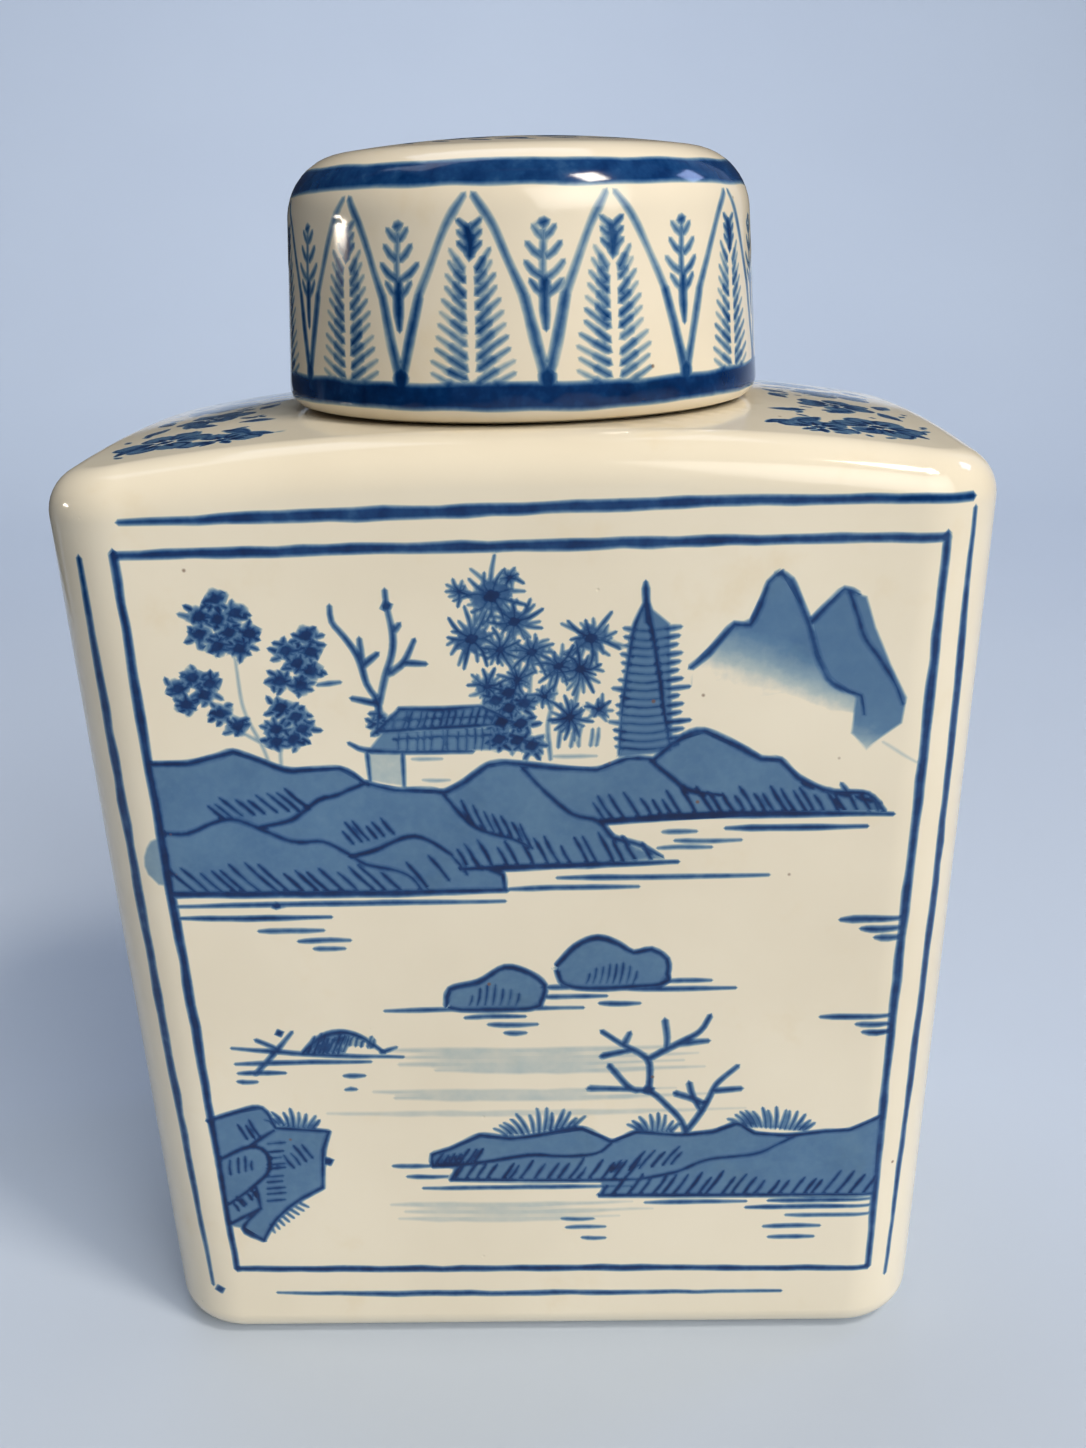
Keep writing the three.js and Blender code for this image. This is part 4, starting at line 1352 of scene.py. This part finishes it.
    # The glaze is smooth glass that ran a little: slow waves, a fine ripple and rare pinholes
    waves = node(tree, "ShaderNodeTexNoise", Vector=place, Scale=blotch(14), Detail=2.0)
    ripple = node(tree, "ShaderNodeTexNoise", Vector=place, Scale=blotch(2.2), Detail=1.0)
    ripple = node(tree, "ShaderNodeMath", TIMES, i0=ripple, i1=0.06)
    waves = node(tree, "ShaderNodeMath", PLUS, i0=waves, i1=ripple)
    bump = node(tree, "ShaderNodeBump", Height=waves, Strength=0.35, Distance=0.25 * MM)
    pits = node(tree, "ShaderNodeTexVoronoi", Vector=place, Scale=1 / (9 * MM))
    pits = node(tree, "ShaderNodeMapRange", Value=pits, From_Min=0.012, From_Max=0.03)
    bump = node(tree, "ShaderNodeBump", Height=pits, Strength=0.5, Distance=0.1 * MM, Normal=bump)
    gloss = node(tree, "ShaderNodeTexNoise", Vector=place, Scale=blotch(9), Detail=3.0)
    gloss = node(tree, "ShaderNodeMapRange", Value=gloss, To_Min=0.07, To_Max=0.14)
    glaze = node(tree, "ShaderNodeBsdfPrincipled", Base_Color=painted, Roughness=gloss, IOR=1.45,
                 Normal=bump)
    node(tree, "ShaderNodeOutputMaterial", Surface=glaze)
    return material


body_glaze = glazed_porcelain("body painted glaze", "#ddd3bd", "#e8dfca")
lid_glaze = glazed_porcelain("lid painted glaze", "#d9ceb8", "#e4dac5")
print("the glaze has", len(body_glaze.node_tree.nodes), "nodes")

# %% [markdown]
# ## Bare biscuit
# The foot ring and the lid's rim stood on something in the kiln, so they were wiped clean of glaze, or they
# would have stuck to it. What shows is fired, unglazed porcelain: matt, chalky and a little stained. One
# noise stains it and a finer one roughens it, which is enough for so narrow a strip.

# %% The bare biscuit of the foot and the rim
def bare_biscuit(name):
    """Unglazed porcelain, sanded at the foot: matt, chalky, and a little stained."""
    material, tree = blank_material(name)
    place = node(tree, "ShaderNodeTexCoord").outputs["Object"]
    stain = node(tree, "ShaderNodeTexNoise", Vector=place, Scale=blotch(4), Detail=5.0, Roughness=0.65)
    colour = node(tree, "ShaderNodeValToRGB", {"stops": [(0.3, "#b7a488"), (0.7, "#d9cdb6")]}, Fac=stain)
    grit = node(tree, "ShaderNodeTexNoise", Vector=place, Scale=blotch(0.4), Detail=3.0)
    bump = node(tree, "ShaderNodeBump", Height=grit, Strength=0.6, Distance=0.08 * MM)
    rough = node(tree, "ShaderNodeMapRange", Value=grit, To_Min=0.7, To_Max=0.9)
    clay = node(tree, "ShaderNodeBsdfPrincipled", Base_Color=colour, Roughness=rough, IOR=1.5, Normal=bump)
    node(tree, "ShaderNodeOutputMaterial", Surface=clay)
    return material


biscuit = bare_biscuit("unglazed foot porcelain")
print("materials:", [m.name for m in bpy.data.materials])

# %% [markdown]
# ## The body
# Its walls are one sheet that starts and ends at a back corner, where nothing is painted. The columns of
# points are closer round the corners, and the rows closer where the foot and the shoulder roll over.

# %% Columns and rows of points on the walls
seam = front_half + corner_length * 1.5 + 2 * side_half
stops = [-seam, -seam + corner_length / 2]
for length in [2 * side_half, corner_length, 2 * front_half, corner_length, 2 * side_half, corner_length,
               2 * front_half, corner_length / 2]:
    stops.append(stops[-1] + length)
columns = []
for a, b in zip(stops, stops[1:]):
    spacing = 1.15 if b - a < corner_length + 0.1 else 2.4
    columns.extend(np.linspace(a, b, max(2, round((b - a) / spacing)), endpoint=False))
columns = np.array(columns + [stops[-1]])
foot_rows = np.linspace(foot_rounding - foot_arc, foot_rounding, 8)


def wall_rows(run):
    top, roll = float(wall_top(run)), float(turn_length(run))
    return np.concatenate([foot_rows, np.linspace(foot_rounding, top, 50)[1:],
                           top + np.linspace(0, roll, 11)[1:]])


column_rows = [wall_rows(run) for run in columns]
bottom_side = [(run, rows[0]) for run, rows in zip(columns, column_rows)]
top_side = [(run, rows[-1]) for run, rows in zip(columns, column_rows)]
right_side = [(columns[-1], z) for z in column_rows[-1][1:-1]]
left_side = [(columns[0], z) for z in column_rows[0][1:-1]]
wall_border = np.array(bottom_side + right_side + top_side[::-1] + left_side[::-1])
wall_grid = [(run, z) for run, rows in zip(columns[1:-1], column_rows[1:-1]) for z in rows[1:-1]]
top_heights = np.array([rows[-1] for rows in column_rows])


print("the walls have", len(columns), "columns of", len(column_rows[0]), "points")

# %% Wrap the walls and the shoulder
def on_the_walls(spots):
    """True for places between the seam's two sides and below the turn on to the shoulder."""
    beside = (spots[:, 0] > columns[0]) & (spots[:, 0] < columns[-1])
    return beside & (spots[:, 1] < np.interp(spots[:, 0], columns, top_heights))


body = bmesh.new()
wrapped(body, walls, [wall_border], on_the_walls, wall_grid, on_wall)

rim_ring = on_wall(np.array(top_side[:-1]))[:, :2]
bare_edge = 1.7
safe = grown(rim_ring, -bare_edge)
shoulder.strokes = [s for s in shoulder.strokes if within(s[0], safe).all()]
shoulder.washes = [w for w in shoulder.washes if within(w[0], safe).all()]
neck_fillet = 0.8
neck_steps = 120
neck_root = neck_radius + neck_fillet
neck_turns = np.linspace(0, 2 * math.pi, neck_steps, endpoint=False)
neck_ring = np.stack([np.cos(neck_turns), np.sin(neck_turns)], axis=1) * neck_root
spread = np.arange(-56, 57, 2.0)
shoulder_grid = [(x, y) for x in spread for y in spread if abs(y) < 36 and math.hypot(x, y) > neck_root + 1]
shoulder_grid = [p for p, ok in zip(shoulder_grid, within(np.array(shoulder_grid), rim_ring * 0.985)) if ok]
wrapped(body, shoulder, [rim_ring, neck_ring],
        lambda p: within(p, rim_ring) & ~within(p, neck_ring), shoulder_grid, on_shoulder)
weld_reach = 0.12
bmesh.ops.remove_doubles(body, verts=[v for v in body.verts if v.is_boundary], dist=weld_reach * MM)

# %% Pull the foot and the base's hollow
run_layer = body.verts.layers.float.new("run")
foot_edges = open_edges(body, lambda co: co.z < 1)
foot_verts = {v for e in foot_edges for v in e.verts}
finder = KDTree(len(columns) - 1)
for k, place in enumerate(on_wall(np.array(bottom_side[:-1])) * MM):
    finder.insert(place, k)
finder.balance()
for vert in foot_verts:
    vert[run_layer] = columns[finder.find(vert.co)[1]]


def outline_ring(bm, edges, inset, height):
    """Pull a loop of the body's outline to another inset and height."""
    def ring(vert):
        x, y, _, _ = plan(np.array([vert[run_layer]]), height, inset)
        return Vector((x[0] * MM, y[0] * MM, height * MM))
    return pulled(bm, edges, ring)


ring_in = foot_rounding + foot_ring
before = set(body.faces)
loop = outline_ring(body, foot_edges, ring_in, 0)
for face in set(body.faces) - before:
    face.material_index = 1
hollow = [(0.3, 0.15), (0.5, 0.6), (0.6, 1.5), (1.0, foot_recess), (1.3, foot_recess)]
for further_in, height in hollow:
    loop = outline_ring(body, loop, ring_in + further_in, height)
bmesh.ops.contextual_create(body, geom=loop)

print("the body has", len(body.faces), "faces with its foot closed")

# %% Pull the neck and join it to the inside
neck_edges = open_edges(body, lambda co: math.hypot(co.x, co.y) < neck_root + 0.5)
lip_in = neck_radius - neck_wall
lip_outer = arc(lip_rounding, neck_radius - lip_rounding, lip_height - lip_rounding, 0.2, math.pi / 2, 5)
lip_inner = arc(lip_rounding, lip_in + lip_rounding, lip_height - lip_rounding, math.pi / 2, math.pi, 6)
neck_profile = [(neck_radius + 0.25, seat_height + 0.25), (neck_radius, seat_height + 0.9),
                (neck_radius, lip_height - lip_rounding)]
neck_profile += lip_outer + lip_inner + [(lip_in, seat_height - 2), (lip_in + 0.6, seat_height - 3.4),
                                         (lip_in + 2, seat_height - wall)]
bore = turned_profile(body, neck_edges, neck_profile)
cavity = []
inside_runs = columns[:-1:2]
for run in inside_runs:
    x, y, _, _ = plan(np.array([run]), seat_height - wall - 6, wall)
    vert = body.verts.new(Vector((x[0] * MM, y[0] * MM, (float(wall_top(run)) - wall) * MM)))
    vert[run_layer] = run
    cavity.append(vert)
cavity_edges = [body.edges.new((a, b)) for a, b in zip(cavity, cavity[1:] + cavity[:1])]
bmesh.ops.bridge_loops(body, edges=bore + cavity_edges)
loop = outline_ring(body, cavity_edges, wall, floor_height + 2)
loop = outline_ring(body, loop, wall + 2, floor_height)
bmesh.ops.contextual_create(body, geom=loop)
finished(body, "painted_jar_body", [body_glaze, biscuit], "jar_body")

# %% [markdown]
# ## The lid
# Its side is a sheet closed round the back, its crown a round sheet, and the bare rim and the hollow inside
# are pulled from the side's lower edge, ring by ring, as a turner's profile would cut them.

# %% Wrap the lid's side and crown
lid = bmesh.new()
lid_steps = 160
lid_columns = np.linspace(-lid_run, lid_run, lid_steps + 1)
side_start = lid_way[rim_steps - 1]
lid_rows = np.concatenate([np.linspace(0, side_start, 6), np.linspace(side_start, lid_up(lid_side), 13)[1:],
                           np.linspace(lid_up(lid_side), lid_way[-1], 13)[1:]])
lid_border = np.array([(s, 0) for s in lid_columns] + [(lid_run, v) for v in lid_rows[1:-1]]
                      + [(s, lid_way[-1]) for s in lid_columns[::-1]]
                      + [(-lid_run, v) for v in lid_rows[-2:0:-1]])
lid_grid = [(s, v) for s in lid_columns[1:-1] for v in lid_rows[1:-1]]


def on_the_lid_side(spots):
    """True for places on the lid's unrolled side."""
    return (np.abs(spots[:, 0]) < lid_run) & (spots[:, 1] > 0) & (spots[:, 1] < lid_way[-1])


wrapped(lid, lid_art, [lid_border], on_the_lid_side, lid_grid, on_lid_side)
crown_ring = on_lid_side(np.array([(s, lid_way[-1]) for s in lid_columns[:-1]]))[:, :2]
step = np.arange(-24, 25, 1.6)
crown_grid = [(x, y) for x in step for y in step if math.hypot(x, y) < crown_edge_radius - 0.7]
wrapped(lid, crown, [crown_ring], lambda p: within(p, crown_ring), crown_grid, on_lid_top)
weld_reach = 0.05
bmesh.ops.remove_doubles(lid, verts=[v for v in lid.verts if v.is_boundary], dist=weld_reach * MM)
print("the lid has", len(lid.faces), "faces on its outside")

# %% Pull the lid's rim and the hollow inside
rim_inner = lid_rim_radius - lid_wall
inside_top = lid_floor + lid_inside
inner_turn = lid_rounding - lid_wall
before = set(lid.faces)
rim_bevel = 0.5
rim_edges = open_edges(lid, lambda co: co.z < lid_floor + 1)
rim_edges = turned_profile(lid, rim_edges, [(rim_inner + rim_bevel, lid_floor),
                                            (rim_inner, lid_floor + rim_bevel)])
for face in set(lid.faces) - before:
    face.material_index = 1
inside_rise = inside_top - inner_turn - lid_floor - rim_bevel
inside = [(rim_inner - lid_flare * k / 4, lid_floor + rim_bevel + inside_rise * k / 4) for k in range(1, 5)]
inside += arc(inner_turn, rim_inner - lid_flare - inner_turn, inside_top - inner_turn, 0.2, math.pi / 2, 6)
last = turned_profile(lid, rim_edges, inside + [(12, inside_top), (3, inside_top)])
bmesh.ops.contextual_create(lid, geom=last)
finished(lid, "painted_lid", [lid_glaze, biscuit], "lid")

# %% [markdown]
# ## The studio
# The jar stands on a pale blue-grey sheet that curves up behind it. A broad soft light comes from the right
# and in front, and small ones give the lid and the shoulder their few bright reflections. The real glaze
# mirrors an unlit room, which keeps its blues deep, so dark cards that the camera doesn't see stand behind
# and on the left. One of them, the flag, also keeps light off the jar's left side.

# %% The backdrop
backdrop_material, tree = blank_material("pale backdrop paper")
paper_place = node(tree, "ShaderNodeTexCoord").outputs["Object"]
clouds = node(tree, "ShaderNodeTexNoise", Vector=paper_place, Scale=blotch(160), Detail=2.0)
paper = node(tree, "ShaderNodeValToRGB", {"stops": [(0.3, "#b9c5d6"), (0.7, "#bdc9d9")]}, Fac=clouds)
paper_shader = node(tree, "ShaderNodeBsdfPrincipled", Base_Color=paper, Roughness=0.75)
node(tree, "ShaderNodeOutputMaterial", Surface=paper_shader)

stage = bmesh.new()
left_end = stage.verts.new((-3, -1.6, 0))
right_end = stage.verts.new((3, -1.6, 0))
edge = stage.edges.new((left_end, right_end))
loop = [edge]
bend_start, bend = 0.55, 0.5
steps = [(bend_start + bend * math.sin(a), bend * (1 - math.cos(a)))
         for a in np.linspace(0, math.pi / 2, 16)]
for y, z in steps + [(bend_start + bend, 3.0)]:
    loop = pulled(stage, loop, lambda vert, y=y, z=z: Vector((vert.co.x, y, z)))
bmesh.ops.recalc_face_normals(stage, faces=stage.faces)
for face in stage.faces:
    face.smooth = True
stage_mesh = bpy.data.meshes.new("backdrop")
stage.to_mesh(stage_mesh)
stage.free()
stage_mesh.materials.append(backdrop_material)
backdrop = in_scene("backdrop", stage_mesh)
print("the backdrop has", len(stage_mesh.polygons), "strips")

# %% Soft lights
def soft_light(name, place, aim, size, power, colour, spread=180):
    """A rectangular light that faces a point: sizes in metres, power in watts, spread in degrees."""
    data = bpy.data.lights.new(name, "AREA")
    data.shape = "RECTANGLE"
    data.size, data.size_y = size
    data.energy = power
    data.spread = math.radians(spread)
    data.color = sheet_colour(colour)[:3]
    light = in_scene(name, data)
    light.location = place
    light.rotation_euler = (Vector(aim) - Vector(place)).to_track_quat("-Z", "Y").to_euler()


soft_light("broad light in front", (0.75, -1.1, 0.87), (0, 0.1, 0.08), (1.3, 1.0), 4.7, "#fffaf2", 75)
soft_light("lamp in front on the right", (0.56, -0.45, 1.14), (0, 0, 0.1), (0.22, 0.26), 1.7, "#fff3e2", 90)
soft_light("window behind on the right", (0.93, 0.39, 0.82), (0, 0, 0.1), (0.26, 0.2), 0.4, "#bccdff", 110)
soft_light("sky light behind on the left", (-0.3, 0.55, 1.45), (-0.1, 0.05, 0.05), (1.3, 0.8), 2.9,
           "#e4ecfb", 120)
soft_light("light on the backdrop", (0, -0.2, 1.5), (0, 1.0, 0.75), (2.2, 0.5), 5.8, "#f4f7ff", 90)
soft_light("window on the left", (-0.38, 0, 0.185), (0, 0, 0.15), (0.05, 0.012), 0.09, "#fff0dc")
print("lights:", [light.name for light in bpy.data.lights])

# %% Dark cards for the unlit room
flag_material, tree = blank_material("dark flag cloth")
flag_shader = node(tree, "ShaderNodeBsdfPrincipled", Base_Color=sheet_colour("#1c1e22"), Roughness=0.9)
node(tree, "ShaderNodeOutputMaterial", Surface=flag_shader)


def dark_card(name, half, place, axis):
    """A dark upright card that the camera doesn't see, for the unlit room that the glaze mirrors."""
    mesh = bpy.data.meshes.new(name)
    sheet = bmesh.new()
    bmesh.ops.create_grid(sheet, x_segments=1, y_segments=1, size=half)
    bmesh.ops.rotate(sheet, verts=sheet.verts, cent=(0, 0, 0), matrix=Matrix.Rotation(math.pi / 2, 3, axis))
    bmesh.ops.translate(sheet, verts=sheet.verts, vec=place)
    sheet.to_mesh(mesh)
    sheet.free()
    mesh.materials.append(flag_material)
    card = in_scene(name, mesh)
    card.visible_camera = False
    return card


dark_card("flag", 0.4, (-0.42, -0.28, 0.41), "Y")
room_cards = [dark_card("dark room on the left", 0.48, (-0.36, 0.62, 0.49), "Y"),
              dark_card("dark room behind", 0.36, (0.03, 0.5, 0.5), "X")]
for card in room_cards:
    card.visible_shadow = False
    card.visible_diffuse = False
print("only reflections see", [card.name for card in room_cards])

# %% Surroundings and camera
world = bpy.data.worlds.new("dim surround")
world.use_nodes = True
background = world.node_tree.nodes["Background"]
background.inputs["Color"].default_value = sheet_colour("#cbd6e4")
background.inputs["Strength"].default_value = 0.16
bpy.context.scene.world = world
bpy.context.scene.view_settings.view_transform = "Standard"

focal_in_pixels = 1400
picture_height = 1448
camera_data = bpy.data.cameras.new("camera")
camera_data.sensor_width = 36
camera_data.lens = focal_in_pixels / picture_height * camera_data.sensor_width
camera = in_scene("camera", camera_data)
right_way = Vector((0.99977, 0.02129, 0))
up_way = Vector((-0.0071, 0.3334, 0.94275))
roll = math.radians(1.43)
camera_right = right_way * math.cos(roll) - up_way * math.sin(roll)
camera_up = right_way * math.sin(roll) + up_way * math.cos(roll)
camera_back = camera_right.cross(camera_up)
turn = [[camera_right[k], camera_up[k], camera_back[k]] for k in range(3)]
camera.matrix_world = Matrix(turn).to_4x4()
camera.location = (0.00571, -0.19666, 0.15089)
camera_data.clip_start = 0.01
bpy.context.scene.camera = camera
print("camera is", round(camera.location.length, 3), "m from the jar's foot")
